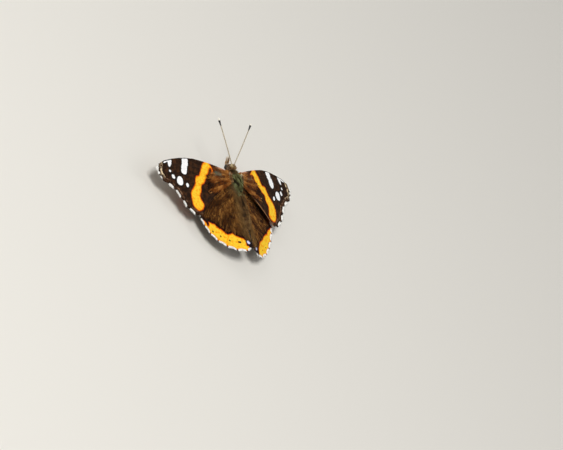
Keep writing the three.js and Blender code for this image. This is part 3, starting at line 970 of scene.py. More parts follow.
@dataclass(frozen=True)
class WingPlan:
    """The drawing of a right wing: its edges, its veins and its mid surface.

    The wing is a fan. One share runs along it from root to margin, and one across it from the front
    edge to the rear edge.
    """

    front_start: Point2
    front_end: Point2
    front_bow: float
    rear_start: Point2
    rear_end: Point2
    rear_bow: float
    veins: dict[str, Vein]
    height: Callable[[Array, Array], Array]
    plain_cells: int  # cells at the front whose margin has no bay
    length: float = 30.0
    width: float = 20.0
    scallop: float = 0.34
    fringe_inset: float = 0.22  # the membrane ends this far inside the tips of the fringe
    steps: int = 40  # points of the margin in each cell

    def margin(self) -> tuple[Array, Array]:
        """The outer margin.

        Returns:
            Its points from the front edge's end to the rear edge's end, and for each the place
            between two veins, from 0 at a vein to 1 in the middle of a cell.
        """
        ends = np.array([self.front_end, *(vein.end for vein in self.veins.values()), self.rear_end])
        chords = np.diff(ends, axis=0)
        inward = unit(np.stack([chords[:, 1], -chords[:, 0]], -1))
        inward = unit(np.vstack([inward[:1], inward[:-1] + inward[1:], inward[-1:]]))
        share = np.linspace(0, 1, self.steps, endpoint=False)
        points, cells = [], []
        for index, (start, step) in enumerate(zip(ends[:-1], chords)):
            facing = unit(inward[index] + (inward[index + 1] - inward[index]) * share[:, None])
            depth = 0.0 if index < self.plain_cells else min(self.scallop, np.linalg.norm(step) / 6)
            sweep = np.sin(np.pi * share)
            offset = self.fringe_inset + depth * sweep**1.4
            points.append(start + step * share[:, None] + facing * offset[:, None])
            cells.append(sweep if index >= self.plain_cells else sweep * 0)
        points.append(ends[-1:] + inward[-1:] * self.fringe_inset)
        cells.append([0.0])
        return np.vstack(points), np.concatenate(cells)

    def across_of(self, margin: Array) -> Array:
        """The share across the wing of each margin point, by distance along the margin."""
        steps = np.linalg.norm(np.diff(margin, axis=0), axis=1)
        return np.concatenate([[0.0], np.cumsum(steps)]) / steps.sum()

    def place(self, along: Array, across: Array) -> Array:
        """Plan points of the wing.

        Args:
            along: shares from the root to the margin.
            across: shares from the front edge to the rear edge, one for each of along.

        Returns:
            Plan points, one for each pair of shares.
        """
        margin, _ = self.margin()
        shares = self.across_of(margin)
        ends = np.stack([np.interp(across, shares, margin[:, axis]) for axis in (0, 1)], -1)
        root = np.array(self.front_start) + np.asarray(across)[..., None] * (
            np.array(self.rear_start) - np.array(self.front_start)
        )
        knots, bows = [0.0], [self.front_bow]
        for index, vein in enumerate(self.veins.values()):
            if vein.start:
                knots.append(shares[(index + 1) * self.steps])
                bows.append(vein.bow)
        knots.append(1.0)
        bows.append(self.rear_bow)
        return bowed(root, ends, np.interp(across, knots, bows), along)

    def vein_paths(self) -> list[tuple[Array, float]]:
        """Every vein as a path in plan, with the share along the wing at which it begins.

        Returns:
            A path and a share for each vein.
        """
        whole = np.linspace(0, 1, 50)
        paths: dict[str, Array] = {}
        for name, vein in self.veins.items():
            if vein.start:
                paths[name] = bowed(vein.start, vein.end, vein.bow, whole)
        for name, vein in self.veins.items():
            if not vein.start:
                forks = [paths[carrier][round(vein.at * 49)] for carrier in vein.leaves]
                paths[name] = bowed(np.mean(forks, axis=0), vein.end, vein.bow, whole)
        return [(paths[name], vein.at) for name, vein in self.veins.items()]


FOREWING = WingPlan(
    front_start=(1.4, 2.05), front_end=(17.2, 5.8), front_bow=0.4, rear_start=(1.4, -0.45),
    rear_end=(17.3, -11.0), rear_bow=1.1, veins=FOREWING_VEINS, plain_cells=5,
    height=lambda x, y: 0.95 - 0.115 * (x - 2.1) + 0.172 * (y - 1.4)
)


# The outer corner of the right hindwing reaches further.
RIGHT_HINDWING_FRONT: Point2 = (18.0, -5.4)
RIGHT_HINDWING_ENDS = (
    (18.8, -8.3), (18.8, -10.2), (17.6, -12.2), (15.9, -14.9), (13.5, -17.4), (10.7, -19.6), (6.9, -21.2),
    (3.5, -21.5)
)
RIGHT_BORDER = (
    (17.9, -10.2), (16.4, -11.1), (15.4, -11.7), (14.6, -12.6), (13.6, -12.9), (12.7, -13.4), (11.6, -14.0),
    (10.1, -15.2), (8.9, -15.7), (7.4, -16.6), (6.4, -17.6), (5.7, -18.4), (5.2, -19.7), (4.6, -21.1),
    (4.2, -23.5), (7.5, -24.0), (12.0, -22.5), (16.0, -20.5), (20.5, -16.0), (21.0, -12.0), (19.6, -9.6)
)
RIGHT_DOTS = (
    Spot((14.1, -15.5), (13.9, -15.6), 0.2), Spot((11.6, -17.1), (11.4, -17.2), 0.18),
    Spot((8.6, -18.5), (8.5, -18.5), 0.16)
)
RIGHT_HINDWING_VEINS = {
    name: replace(vein, end=end) for (name, vein), end in zip(HINDWING_VEINS.items(), RIGHT_HINDWING_ENDS)
}


def hindwing_plan(fall: float, front_end: Point2, veins: dict[str, Vein]) -> WingPlan:
    """The drawing of a hindwing.

    Args:
        fall: how far it falls for each millimetre to the rear.
        front_end: where its front edge ends.
        veins: its veins.

    Returns:
        The plan.
    """
    return WingPlan(
        front_start=(1.3, -1.15), front_end=front_end, front_bow=3.6, rear_start=(1.3, -2.8),
        rear_end=(0.8, -20.3), rear_bow=0.85, veins=veins, plain_cells=1, length=19.0, width=18.0,
        height=lambda x, y: -0.5 - 0.34 * (x - 2) + 0.009 * (x - 2) ** 2 + fall * (y + 1.6)
    )


@dataclass(frozen=True)
class Relief:
    """Thickness of the membrane and the ridges and hollows in it."""

    half: float = 0.11
    half_at_margin: float = 0.05
    vein_height: float = 0.13
    vein_height_at_margin: float = 0.05
    vein_width: float = 0.2
    vein_width_at_margin: float = 0.11
    costa_height: float = 0.13
    costa_place: float = 0.24  # middle of the front edge's swelling, from the edge
    costa_width: float = 0.2
    edge_round: float = 0.24  # the front and rear edges thin out over this width
    hollow: float = 0.09  # how far the membrane sinks between veins
    hollow_reach: float = 1.3


@dataclass
class Wing:
    """One wing: a thin skin with raised veins, painted on both faces, and its fringe."""

    name: str
    plan: WingPlan
    side: Side
    above: WingScales
    below: WingScales
    slot: str
    rows: int = 140
    columns: int = 190
    relief: Relief = field(default_factory=Relief)
    seed: int = 11
    fringe_count: int = 420
    fringe_length: float = 0.5
    pale_growth: float = 0.7  # how much longer the pale scales of the fringe are
    fringe_folds: int = 6  # the fringe's unwrap is laid in so many lengths

    def upper(self, along: Array, across: Array) -> tuple[Array, Array, dict[str, Array]]:
        """The upper and lower face of the wing at pairs of shares.

        Args:
            along: shares from the root to the margin.
            across: shares from the front edge to the rear edge.

        Returns:
            Points on the upper face, the points below them, and what the skin's markings measure there.
        """
        plan = self.plan.place(along, across)
        marks = self.measure(plan, along, across)
        relief = self.relief
        nearest = marks["vein"]
        taper = marks["along"]
        half = relief.half + (relief.half_at_margin - relief.half) * taper**3
        width = relief.vein_width + (relief.vein_width_at_margin - relief.vein_width) * taper
        crest = relief.vein_height + (relief.vein_height_at_margin - relief.vein_height) * taper
        ridge = crest * np.exp(-((nearest / width) ** 2))
        costa = (marks["front"] - relief.costa_place) / relief.costa_width
        ridge += relief.costa_height * (1 - 0.6 * taper) * np.exp(-(costa**2))
        edge = np.clip(np.minimum(marks["front"], marks["rear"]) / relief.edge_round, 0, 1)
        rounding = 0.12 + 0.88 * np.sqrt(1 - (1 - edge) ** 2)
        half, ridge = half * rounding, ridge * rounding
        fade = ease(marks["edge"], 0.0, 1.0) * ease(marks["front"], 0.0, 0.8)
        hollow = -relief.hollow * np.clip(nearest / relief.hollow_reach, 0, 1) ** 2 * fade
        middle = self.plan.height(plan[:, 0], plan[:, 1]) + hollow
        top = np.column_stack([plan, middle + half + ridge])
        bottom = np.column_stack([plan, middle - half - 0.6 * ridge])
        return top, bottom, marks

    def measure(self, plan: Array, along: Array, across: Array) -> dict[str, Array]:
        """What the shader and the relief need to know at each point.

        Args:
            plan: the plan points.
            along: their shares from the root to the margin.
            across: their shares from the front edge to the rear edge.

        Returns:
            Arrays by name: distances in millimetres and shares.
        """
        nearest = np.full(len(plan), 1e9)
        for path, begins in self.plan.vein_paths():
            distance, _ = distance_to_path(plan, path[::3] if begins == 0 else path[::4])
            nearest = np.minimum(nearest, distance)
        margin, cells = self.plan.margin()
        first = self.plan.plain_cells * self.plan.steps
        edge, _ = distance_to_path(plan, margin[first::4])
        whole = np.linspace(0, 1, 30)
        costa = bowed(self.plan.front_start, self.plan.front_end, self.plan.front_bow, whole)
        front, _ = distance_to_path(plan, np.vstack([costa, margin[:first:10]]))
        rear, _ = distance_to_path(
            plan, bowed(self.plan.rear_start, self.plan.rear_end, self.plan.rear_bow, whole)
        )
        cell = np.interp(across, self.plan.across_of(margin), cells)
        marks = {
            "along": along, "vein": nearest, "edge": edge, "front": front, "rear": rear,
            "pale": self.paleness(plan, cell),
            "lines": np.column_stack([along * self.plan.length, across * self.plan.width, along * 0])
        }
        return marks | self.markings(plan, edge, front)

    def markings(self, plan: Array, edge: Array, front: Array) -> dict[str, Array]:
        """Depths inside the wing's own markings, which each kind of wing gives."""
        raise NotImplementedError

    def paleness(self, plan: Array, cell: Array) -> Array:
        """Where the fringe is pale, from 0 to 1, which each kind of wing gives."""
        raise NotImplementedError

    def build_all(self) -> None:
        """Builds the skin of the wing, its hair and its fringe."""
        self.build()
        self.build_hair()
        self.build_fringe()

    def build(self) -> None:
        """Builds the skin of the wing and dresses it."""
        rows, columns = self.rows + 1, self.columns + 1
        along, across = np.meshgrid(np.linspace(0, 1, rows), np.linspace(0, 1, columns), indexing="ij")
        top, bottom, marks = self.upper(along.ravel(), across.ravel())
        count = rows * columns
        index = np.arange(count).reshape(rows, columns)
        quads = np.stack([index[:-1, :-1], index[:-1, 1:], index[1:, 1:], index[1:, :-1]], -1).reshape(-1, 4)
        rim = np.concatenate([index[0, ::-1], index[1:, 0], index[-1, 1:], index[-2:0:-1, -1]])
        after = np.roll(rim, -1)
        wall = np.stack([rim, after, after + count, rim + count], -1)
        faces = np.concatenate([quads, quads[:, ::-1] + count, wall])
        if self.side is Side.LEFT:
            faces = faces[:, ::-1]
        attributes = {key: np.concatenate([values, values]) for key, values in marks.items()}
        points = self.side.turned(np.concatenate([top, bottom]))
        piece = make_object(f"{self.name}_membrane", points, faces.tolist(), attributes)
        slots = np.zeros(len(faces), np.int32)
        slots[len(quads) : 2 * len(quads)] = 1
        piece.data.polygons.foreach_set("material_index", slots)
        wear(piece, [self.name], [self.above, self.below])

    def roots(self, places: Array, lift: float | Array, unwrap: Array) -> tuple[Roots, dict[str, Array]]:
        """Roots on the wing's upper face, whose tufts lie towards the margin.

        Args:
            places: shares along and across the wing, one pair in each row.
            lift: how steeply the tufts rise from the wing, in radians, for all or for each.
            unwrap: the tufts' places on the unwrap, each way from 0 to 1.

        Returns:
            The roots, and what the markings measure at each.
        """
        along, across = places.T
        nudge = 0.004
        here, _, marks = self.upper(along, across)
        onward = self.upper(np.minimum(along + nudge, 1.0), across)[0]
        inward = self.upper(np.maximum(along - nudge, 0.0), across)[0]
        beside = self.upper(along, np.minimum(across + nudge, 1.0))[0]
        before = self.upper(along, np.maximum(across - nudge, 0.0))[0]
        lie = unit(onward - inward)
        outward = unit(np.cross(beside - before, lie))
        steep = np.asarray(lift, float)[..., None]
        lie = unit(lie * np.cos(steep) + outward * np.sin(steep))
        count = len(places)
        roots = Roots(
            self.side.turned(here - outward * 0.02), self.side.turned(outward), self.side.turned(lie),
            np.ones(count), np.full(count, 0.5), np.zeros(count), inset_unwrap(unwrap)
        )
        return roots, marks

    def build_fringe(self) -> None:
        """Sets the fringe of long flat scales along the outer margin, pale between the veins' ends."""
        random = np.random.default_rng(self.seed + 1)
        margin, _ = self.plan.margin()
        shares = self.plan.across_of(margin)
        first = shares[self.plan.plain_cells * self.plan.steps]
        places = jittered_grid(3, self.fringe_count, random, 0.2)
        folded = places[:, 1] * self.fringe_folds
        unwrap = np.column_stack([folded % 1, (np.floor(folded) + places[:, 0]) / self.fringe_folds])
        across = first + (1 - first) * places[:, 1]
        roots, marks = self.roots(np.column_stack([1 - 0.008 * places[:, 0], across]), 0.0, unwrap)
        tangent = np.gradient(margin, axis=0)
        ahead = np.stack([np.interp(across, shares, tangent[:, axis]) for axis in (0, 1)], -1)
        outward = unit(self.side.turned(np.column_stack([-ahead[:, 1], ahead[:, 0], ahead[:, 0] * 0])))
        roots.lie = unit(0.35 * roots.lie + outward)
        pale = marks["pale"]
        ragged_length = random.uniform(0.8, 1.15, len(across))
        roots.length = self.fringe_length * (0.45 + self.pale_growth * pale) * ragged_length
        roots.tint = np.clip(ease(pale + random.normal(0, 0.07, len(pale)), 0.35, 0.6), 0.05, 1)
        coat = Coat(
            name=f"{self.name}_fringe", slot=self.slot, finish=FRINGE_SCALES,
            tuft=TuftShape(strands=3, width=0.13, flatness=0.4, parting=0.16, arch=0.0, taper=0.5),
            length_spread=0.1, turn_spread=0.12, seed=self.seed
        )
        coat.build(roots)

    def build_hair(self) -> None:
        """Sets the hair on the part of the wing nearest the body, which each kind of wing gives."""
        raise NotImplementedError


FRINGE_SCALES = HairFinish(
    name="fringe_scales", ground="#21150d", middle="#bfae96", light="#fffdf6", second="#21150d", roughness=0.7
)


@dataclass
class Forewing(Wing):
    """A forewing, with its orange band, white spots and pale lines at the tip."""

    pale_growth: float = 1.2
    band: tuple[Point2, ...] = (
        (10.9, 5.0), (9.9, 4.0), (9.2, 3.2), (9.25, 2.2), (9.9, 1.0), (10.2, 1.2), (9.75, 2.2), (9.95, 3.1),
        (10.6, 2.8), (11.0, 2.0), (11.6, 1.2), (12.1, 1.0), (12.1, 0.2), (13.0, -0.4), (13.8, -1.35),
        (15.1, -2.15), (15.5, -3.7), (16.4, -5.0), (16.05, -6.4), (15.5, -7.6), (16.4, -8.9), (17.9, -9.45),
        (19.1, -8.9), (19.9, -7.9), (20.2, -6.6), (20.2, -5.3), (19.85, -4.0), (18.85, -2.95),
        (17.7, -1.75), (17.2, -0.5), (16.6, 0.6), (15.3, 0.85), (14.4, 2.1), (13.3, 3.8), (12.1, 4.9)
    )
    spots: tuple[Spot, ...] = (
        Spot((19.9, 5.1), (20.15, 4.1), 1.15), Spot((20.75, 2.9), (21.1, 1.95), 1.12),
        Spot((26.1, 4.55), (26.5, 3.75), 0.66), Spot((26.55, 3.5), (26.7, 3.15), 0.42),
        Spot((27.1, 4.6), (28.7, 4.1), 0.34), Spot((26.8, 1.6), (26.9, 1.6), 0.36),
        Spot((25.93, 0.15), (25.88, -0.05), 0.58), Spot((23.5, -0.95), (23.55, -1.15), 1.2),
        Spot((20.85, -2.1), (20.8, -2.2), 0.54)
    )
    costal_rim: float = 0.28  # the white spots stop so far from the front edge
    pale_fringe: tuple[Spot, ...] = (
        Spot((31.5, 2.3), (31.6, 2.1), 0.05), Spot((31.42, 1.1), (31.38, 0.9), 0.05),
        Spot((31.0, -0.2), (30.75, -0.5), 0.05), Spot((27.85, -2.25), (27.1, -2.75), 0.15),
        Spot((25.6, -4.15), (24.85, -5.25), 0.15), Spot((23.5, -7.05), (23.1, -7.85), 0.15),
        Spot((21.45, -9.1), (20.35, -9.9), 0.15), Spot((18.4, -10.75), (18.3, -10.75), 0.0)
    )
    lines_along: tuple[float, ...] = (-11.0, -6.0, -4.6, -3.0, -2.2, -0.9, -0.3, 5.0)  # places along Y
    lines_strength: tuple[float, ...] = (0.4, 0.5, 0.7, 0.7, 0.4, 0.5, 0.95, 0.95)
    patch: Spot = Spot((5.4, 1.1), (7.7, 1.65), 0.62)  # grey green, behind the front edge
    patch_fade: float = 0.0  # how much smaller the patch is than drawn
    rear_line: float = 0.0  # how strong a tan line the rear edge has
    fleck: Spot = Spot((13.1, -3.2), (13.1, -3.2), -1.0)  # a pale speck, which only one side shows

    def markings(self, plan: Array, edge: Array, front: Array) -> dict[str, Array]:
        """Depths inside the forewing's markings.

        Args:
            plan: the plan points.
            edge: their distance from the outer margin.
            front: their distance from the front edge.

        Returns:
            Arrays by name.
        """
        return {
            "band": inside_depth(plan, closed_curve(self.band)),
            "white": np.minimum(deepest(plan, self.spots), front - self.costal_rim),
            "grey": self.patch.depth(plan) - self.patch_fade, "rear_line": edge * 0 + self.rear_line,
            "fleck": self.fleck.depth(plan),
            "lined": np.interp(plan[:, 1], self.lines_along, self.lines_strength)
        }

    def paleness(self, plan: Array, cell: Array) -> Array:
        """Where the fringe is pale, from 0 to 1: a row of short patches."""
        return ease(deepest(plan, self.pale_fringe), -0.38, -0.18)

    def build_hair(self) -> None:
        """Sets the hair that spreads over the forewing from its root."""
        random = np.random.default_rng(self.seed)
        grid = jittered_grid(74, 44, random)
        places = grid * (0.5, 1.0) + (0.015, 0.0)
        roots, marks = self.roots(places, 0.1, grid)
        along, across = places.T
        reach = 0.2 + 0.26 * ease(across, 0.25, 0.9) + 0.07 * soft_noise(places * (4, 14), self.seed)
        density = ease(along, reach, reach - 0.14) * ease(marks["band"], 0.1, -0.5)
        density *= np.maximum(ease(marks["front"], 0.4, 0.9), ease(along, 0.12, 0.06))
        kept = random.uniform(0, 1, len(places)) < density
        streak = soft_noise(places * (5.0, 24.0), self.seed + 2)
        roots.length = (1.9 - 1.5 * along) * (0.7 + 0.5 * ease(across, 0.0, 0.3))
        roots.tint = 1.3 * streak - 0.1 - 0.55 * along + 0.12 * ease(along, 0.2, 0.05)
        roots.tint = np.clip(roots.tint + random.normal(0, 0.08, len(along)), 0, 1)
        patch = marks["grey"] + 0.9 * (soft_noise(places * (14, 30), self.seed + 3) - 0.5)
        roots.hue = np.clip(0.75 * ease(patch, -0.4, 0.5), 0, 1)
        coat = Coat(f"{self.name}_hair", self.slot, FOREWING_HAIR, seed=self.seed)
        coat.build(roots.where(kept))


FOREWING_HAIR = HairFinish(
    name="forewing_root_hair", ground="#351a06", middle="#934e14", light="#dc9a4c", second="#90947a"
)
HINDWING_HAIR = HairFinish(
    name="hindwing_hair", ground="#241104", middle="#65380e", light="#c08640", second="#806035"
)


@dataclass
class Hindwing(Wing):
    """A hindwing, with its orange border, the dark dots in it and the lilac spot at its inner corner."""

    band: tuple[Point2, ...] = (
        (16.6, -11.2), (15.5, -12.0), (15.0, -13.2), (14.5, -12.9), (14.0, -11.9), (13.2, -12.4),
        (12.0, -12.7), (11.1, -13.8), (10.2, -14.2), (9.4, -15.0), (9.0, -15.6), (7.6, -15.7), (6.6, -15.5),
        (5.9, -16.1), (4.3, -16.8), (3.2, -17.6), (2.75, -18.1), (3.0, -19.3), (2.4, -19.85), (2.6, -20.8),
        (3.1, -23.5), (7.5, -23.5), (12.0, -22.0), (16.0, -19.5), (19.5, -15.5), (20.0, -12.0),
        (18.4, -10.6)
    )
    dots: tuple[Spot, ...] = (
        Spot((13.9, -14.8), (13.65, -14.95), 0.22), Spot((11.5, -16.3), (11.25, -16.4), 0.22),
        Spot((8.55, -17.55), (8.3, -17.65), 0.22), Spot((5.4, -18.15), (4.9, -18.3), 0.3)
    )
    lilac: Spot = Spot((2.3, -18.35), (2.1, -18.6), 0.42)
    corner: Spot = Spot((2.3, -18.2), (1.7, -18.9), 0.85)  # the dark ground of the lilac spot
    tick: float = 0.3  # the share of a cell, from its vein, that has a dark fringe
    apex_growth: float = 0.8  # how much longer the pale fringe is at the front corner
    tuft: Spot = Spot((2.75, -20.75), (2.3, -20.6), 0.35)  # the only pale part of the innermost cell

    def markings(self, plan: Array, edge: Array, front: Array) -> dict[str, Array]:
        """Depths inside the hindwing's markings.

        Args:
            plan: the plan points.
            edge: their distance from the outer margin.
            front: their distance from the front edge; not used here.

        Returns:
            Arrays by name.
        """
        return {
            "band": np.minimum(inside_depth(plan, closed_curve(self.band)), edge - 0.02),
            "dots": deepest(plan, self.dots), "corner": self.corner.depth(plan),
            "lilac": self.lilac.depth(plan), "lined": edge * 0
        }

    def paleness(self, plan: Array, cell: Array) -> Array:
        """Where the fringe is pale: all but a tick at each vein's end. It is above 1 at the front corner.

        Args:
            plan: the plan points.
            cell: the place between two veins, from 0 at a vein to 1 in the middle.

        Returns:
            One share for each point.
        """
        innermost = ease(plan[:, 0], 3.7, 3.3)
        tuft = ease(self.tuft.depth(plan), -0.3, 0.0)
        outer = ease(cell, self.tick - 0.1, self.tick + 0.1) * (
            1 + self.apex_growth * ease(plan[:, 1], -10.3, -9.3)
        )
        return innermost * tuft + (1 - innermost) * outer

    def build_hair(self) -> None:
        """Sets the long hair that covers the hindwing almost to its orange border."""
        random = np.random.default_rng(self.seed)
        grid = jittered_grid(72, 72, random)
        places = grid * (0.9, 1.0) + (0.01, 0.0)
        along, across = places.T
        near_body = ease(across, 0.32, 0.04) * ease(along, 0.5, 0.1)
        roots, marks = self.roots(places, 0.09 + 0.65 * near_body, grid)
        open_skin = ease(marks["band"], -1.1, -2.2) * ease(along, 0.94, 0.84) * ease(
            marks["corner"], -0.3, -1.2
        )
        density = open_skin * np.maximum(0.25 + 0.75 * ease(across, 0.05, 0.25), near_body)
        kept = random.uniform(0, 1, len(places)) < density
        streak = soft_noise(places * (4.0, 75.0), self.seed + 2)
        inner = ease(across, 0.8, 0.97)
        roots.length = (2.5 - 1.1 * along) * (0.7 + 0.4 * ease(across, 0.2, 0.5)) * (
            1 + 0.35 * inner + 0.2 * near_body
        )
        roots.tint = np.clip(1.15 * streak - 0.13 - 0.2 * ease(along, 0.5, 0.9) + 0.12 * inner, 0, 1)
        roots.tint = np.clip(roots.tint + random.normal(0, 0.07, len(along)), 0, 1)
        roots.hue = 0.7 * inner + 0.5 * ease(along, 0.12, 0.02)
        coat = Coat(f"{self.name}_hair", self.slot, HINDWING_HAIR, seed=self.seed)
        coat.build(roots.where(kept))


# Body.


def smooth_path(knots: Sequence[Point3], count: int) -> Array:
    """Evenly spaced points on a smooth curve through a few knots.

    Args:
        knots: the points that it passes through, in order.
        count: how many points it has.

    Returns:
        The curve's points, one in each row.
    """
    fixed = np.array(knots, float)
    padded = np.vstack([2 * fixed[0] - fixed[1], fixed, 2 * fixed[-1] - fixed[-2]])
    share = np.linspace(0, 1, 40, endpoint=False)[:, None]
    pieces = []
    for a, b, c, d in zip(padded[:-3], padded[1:-2], padded[2:-1], padded[3:]):
        bend = (2 * a - 5 * b + 4 * c - d) * share**2 + (3 * b - a - 3 * c + d) * share**3
        pieces.append(0.5 * (2 * b + (c - a) * share + bend))
    curve = np.vstack([*pieces, fixed[-1:]])
    length = np.concatenate([[0.0], np.cumsum(np.linalg.norm(np.diff(curve, axis=0), axis=1))])
    even = np.linspace(0, length[-1], count)
    return np.stack([np.interp(even, length, curve[:, axis]) for axis in range(3)], -1)


@dataclass
class Limb:
    """A round body along a path, whose rings follow on without a twist."""

    centres: Array
    radii: Array
    sides: int = 16
    side: Side = Side.RIGHT

    def axes(self) -> tuple[Array, Array, Array]:
        """Unit vectors at each centre: across the limb, above it and along it.

        Returns:
            Three arrays, with one vector for each centre.
        """
        along = unit(np.gradient(self.centres, axis=0))
        start = np.cross(along[0], (0.0, 0.0, 1.0))
        across = [start if np.linalg.norm(start) > 1e-6 else np.array([1.0, 0.0, 0.0])]
        for direction in along:
            carried = across[-1] - direction * (across[-1] @ direction)
            across.append(carried / np.linalg.norm(carried))
        across = np.array(across[1:])
        return across, np.cross(across, along), along

    def lengths(self) -> Array:
        """How far along the limb each centre lies, in millimetres."""
        return np.concatenate([[0.0], np.cumsum(np.linalg.norm(np.diff(self.centres, axis=0), axis=1))])

    def skin(self, rings: Array, turns: Array) -> tuple[Array, Array, Array]:
        """Places on the limb.

        Args:
            rings: how far along, counted in rings.
            turns: how far round, in radians.

        Returns:
            The points, the directions outwards and the directions along the limb.
        """
        across, above, along = self.axes()
        number = np.arange(len(self.centres))

        def at(values: Array) -> Array:
            """Values between the rings."""
            return np.stack([np.interp(rings, number, values[:, axis]) for axis in range(3)], -1)

        outward = np.cos(turns)[:, None] * at(across) + np.sin(turns)[:, None] * at(above)
        outward = unit(outward)
        radius = np.interp(rings, number, self.radii)
        points = at(self.centres) + outward * radius[:, None]
        return self.side.turned(points), self.side.turned(outward), self.side.turned(unit(at(along)))

    def mesh(self) -> "Skin":
        """The limb's skin, with a pole at each end.

        Returns:
            Points, faces, and how far along each point lies.
        """
        across, above, _ = self.axes()
        turn = np.arange(self.sides) / self.sides * 2 * math.pi
        outward = (
            np.cos(turn)[None, :, None] * across[:, None, :] + np.sin(turn)[None, :, None] * above[:, None, :]
        )
        points = (self.centres[:, None, :] + outward * self.radii[:, None, None]).reshape(-1, 3)
        points = np.vstack([points, self.centres[:1], self.centres[-1:]])
        count, sides = len(self.centres), self.sides
        index = np.arange(count * sides).reshape(count, sides)
        after = np.roll(index, -1, axis=1)
        quads = np.stack([index[:-1], after[:-1], after[1:], index[1:]], -1).reshape(-1, 4)
        first, last = count * sides, count * sides + 1
        faces = quads.tolist()
        faces += [[first, after[0, side], index[0, side]] for side in range(sides)]
        faces += [[last, index[-1, side], after[-1, side]] for side in range(sides)]
        if self.side is Side.RIGHT:
            faces = [face[::-1] for face in faces]
        length = np.repeat(self.lengths(), sides)
        length = np.concatenate([length, [0.0, length[-1]]])
        return self.side.turned(points), faces, {"length": length}


def limb_roots(limb: Limb, grid: Array, length: float, lift: float) -> Roots:
    """Roots all over a limb, whose tufts lie towards its end.

    Args:
        limb: the limb.
        grid: shares along and round it, one pair in each row.
        length: the tufts' length.
        lift: how steeply they rise, in radians.

    Returns:
        The roots, with no shading yet.
    """
    points, outward, along = limb.skin(grid[:, 0] * (len(limb.centres) - 1), grid[:, 1] * 2 * math.pi)
    lie = unit(along * math.cos(lift) + outward * math.sin(lift))
    even = np.ones(len(grid))
    return Roots(
        points - outward * 0.015, outward, lie, even * length, even / 2, even * 0, inset_unwrap(grid)
    )


Skin = tuple[Array, list[list[int]], dict[str, Array]]


def joined(skins: Sequence[Skin]) -> Skin:
    """Several closed skins as the points, the faces and the attributes of one piece.

    Args:
        skins: the closed skins.

    Returns:
        The points, the faces and the attributes together.
    """
    faces, start = [], 0
    for points, corners, _ in skins:
        faces += [[corner + start for corner in face] for face in corners]
        start += len(points)
    attributes = {key: np.concatenate([skin[2][key] for skin in skins]) for key in skins[0][2]}
    return np.vstack([skin[0] for skin in skins]), faces, attributes


def rounded(radii: Array, rings: int = 4) -> Array:
    """The radii, with both ends drawn in to a dome over a few rings.

    Args:
        radii: the radii of a limb's rings.
        rings: how many rings each dome takes.

    Returns:
        The shaped radii.
    """
    dome = np.sqrt(1 - (1 - np.linspace(0.1, 1, rings)) ** 2)
    shaped = radii.copy()
    shaped[:rings] *= dome
    shaped[-rings:] *= dome[::-1]
    return shaped


@dataclass(frozen=True)
class EyeFacets(Finish):
    """A compound eye: a glossy cover over thousands of facets.

    The facets are about 0.025 mm wide, and are drawn at 0.07 mm so that they break the highlight.
    """

    name: str = "compound_eye_facets"
    ground: str = "#120b08"
    roughness: float = 0.28
    coat: float = 0.3
    coat_roughness: float = 0.15
    facet_mm: float = 0.07

    def dress(self, paint: Paint) -> None:
        """Clouds the eye with brown, and lays its facets."""
        paint.lay(paint.mottle(0.7).rise(0.45, 0.7), "#3b2216")
        paint.scales(self.facet_mm, 0.02, 0.35, domed=True)


@dataclass(frozen=True)
class SkinCuticle(Finish):
    """The cuticle under the coat: dark horn with short flat scales, seen only between the tufts."""

    name: str = "cuticle_under_coat"
    ground: str = "#2b1e13"
    roughness: float = 0.6
    clouds: str = "#55482f"
    scale_mm: float = 0.12

    def dress(self, paint: Paint) -> None:
        """Clouds the horn, and lays its scales."""
        paint.lay(paint.mottle(0.8, 3.0).rise(0.4, 0.7), self.clouds)
        paint.scales(self.scale_mm, 0.03, 0.5)


@dataclass(frozen=True)
class RingedHorn(Finish):
    """Horn of the feelers: a dark shaft with a pale ring of scales at each joint, satin."""

    name: str = "ringed_feeler_horn"
    ground: str = "#2e2117"
    joint_mm: float = 0.34
    club_from_mm: float = 12.0
    tip_from_mm: float = 14.0

    def dress(self, paint: Paint) -> None:
        """Lays the pale rings, the black club and its white tip.

        Args:
            paint: the material's paint.
        """
        length = paint.measured("length")
        paint.lay(length.phase(self.joint_mm).rise(0.35, 0.5), "#eadbbd")
        paint.lay(length.rise(self.club_from_mm - 0.3, self.club_from_mm + 0.2), "#0f0b09")
        paint.lay(length.rise(self.tip_from_mm - 0.1, self.tip_from_mm + 0.1), "#f6f1e2")


@dataclass(frozen=True)
class LegScales(Finish):
    """Legs: horn under close flat scales, satin, tan with paler clouds and dark specks."""

    name: str = "leg_scales"
    ground: str = "#7b5a38"
    pale: str = "#b99768"
    scale_mm: float = 0.09

    def dress(self, paint: Paint) -> None:
        """Clouds and specks the tan, and lays its scales.

        Args:
            paint: the material's paint.
        """
        paint.lay(paint.mottle(0.5, 3.0).rise(0.4, 0.65), self.pale)
        paint.lay(paint.mottle(0.25, 2.0).rise(0.6, 0.7, 0.0, 0.6), "#3a2819")
        paint.scales(self.scale_mm, 0.02, 0.5)


@dataclass(frozen=True)
class TongueHorn(Finish):
    """The coiled tongue: brown horn with fine cross ribs, satin."""

    name: str = "tongue_horn"
    ground: str = "#2e1a0e"
    roughness: float = 0.35
    rib_mm: float = 0.14

    def dress(self, paint: Paint) -> None:
        """Raises the ribs, and colours them paler.

        Args:
            paint: the material's paint.
        """
        rib = paint.measured("length").phase(self.rib_mm).rise(0.2, 0.6)
        paint.lay(rib, "#6a4526")
        paint.emboss(rib, 0.02, 0.4)


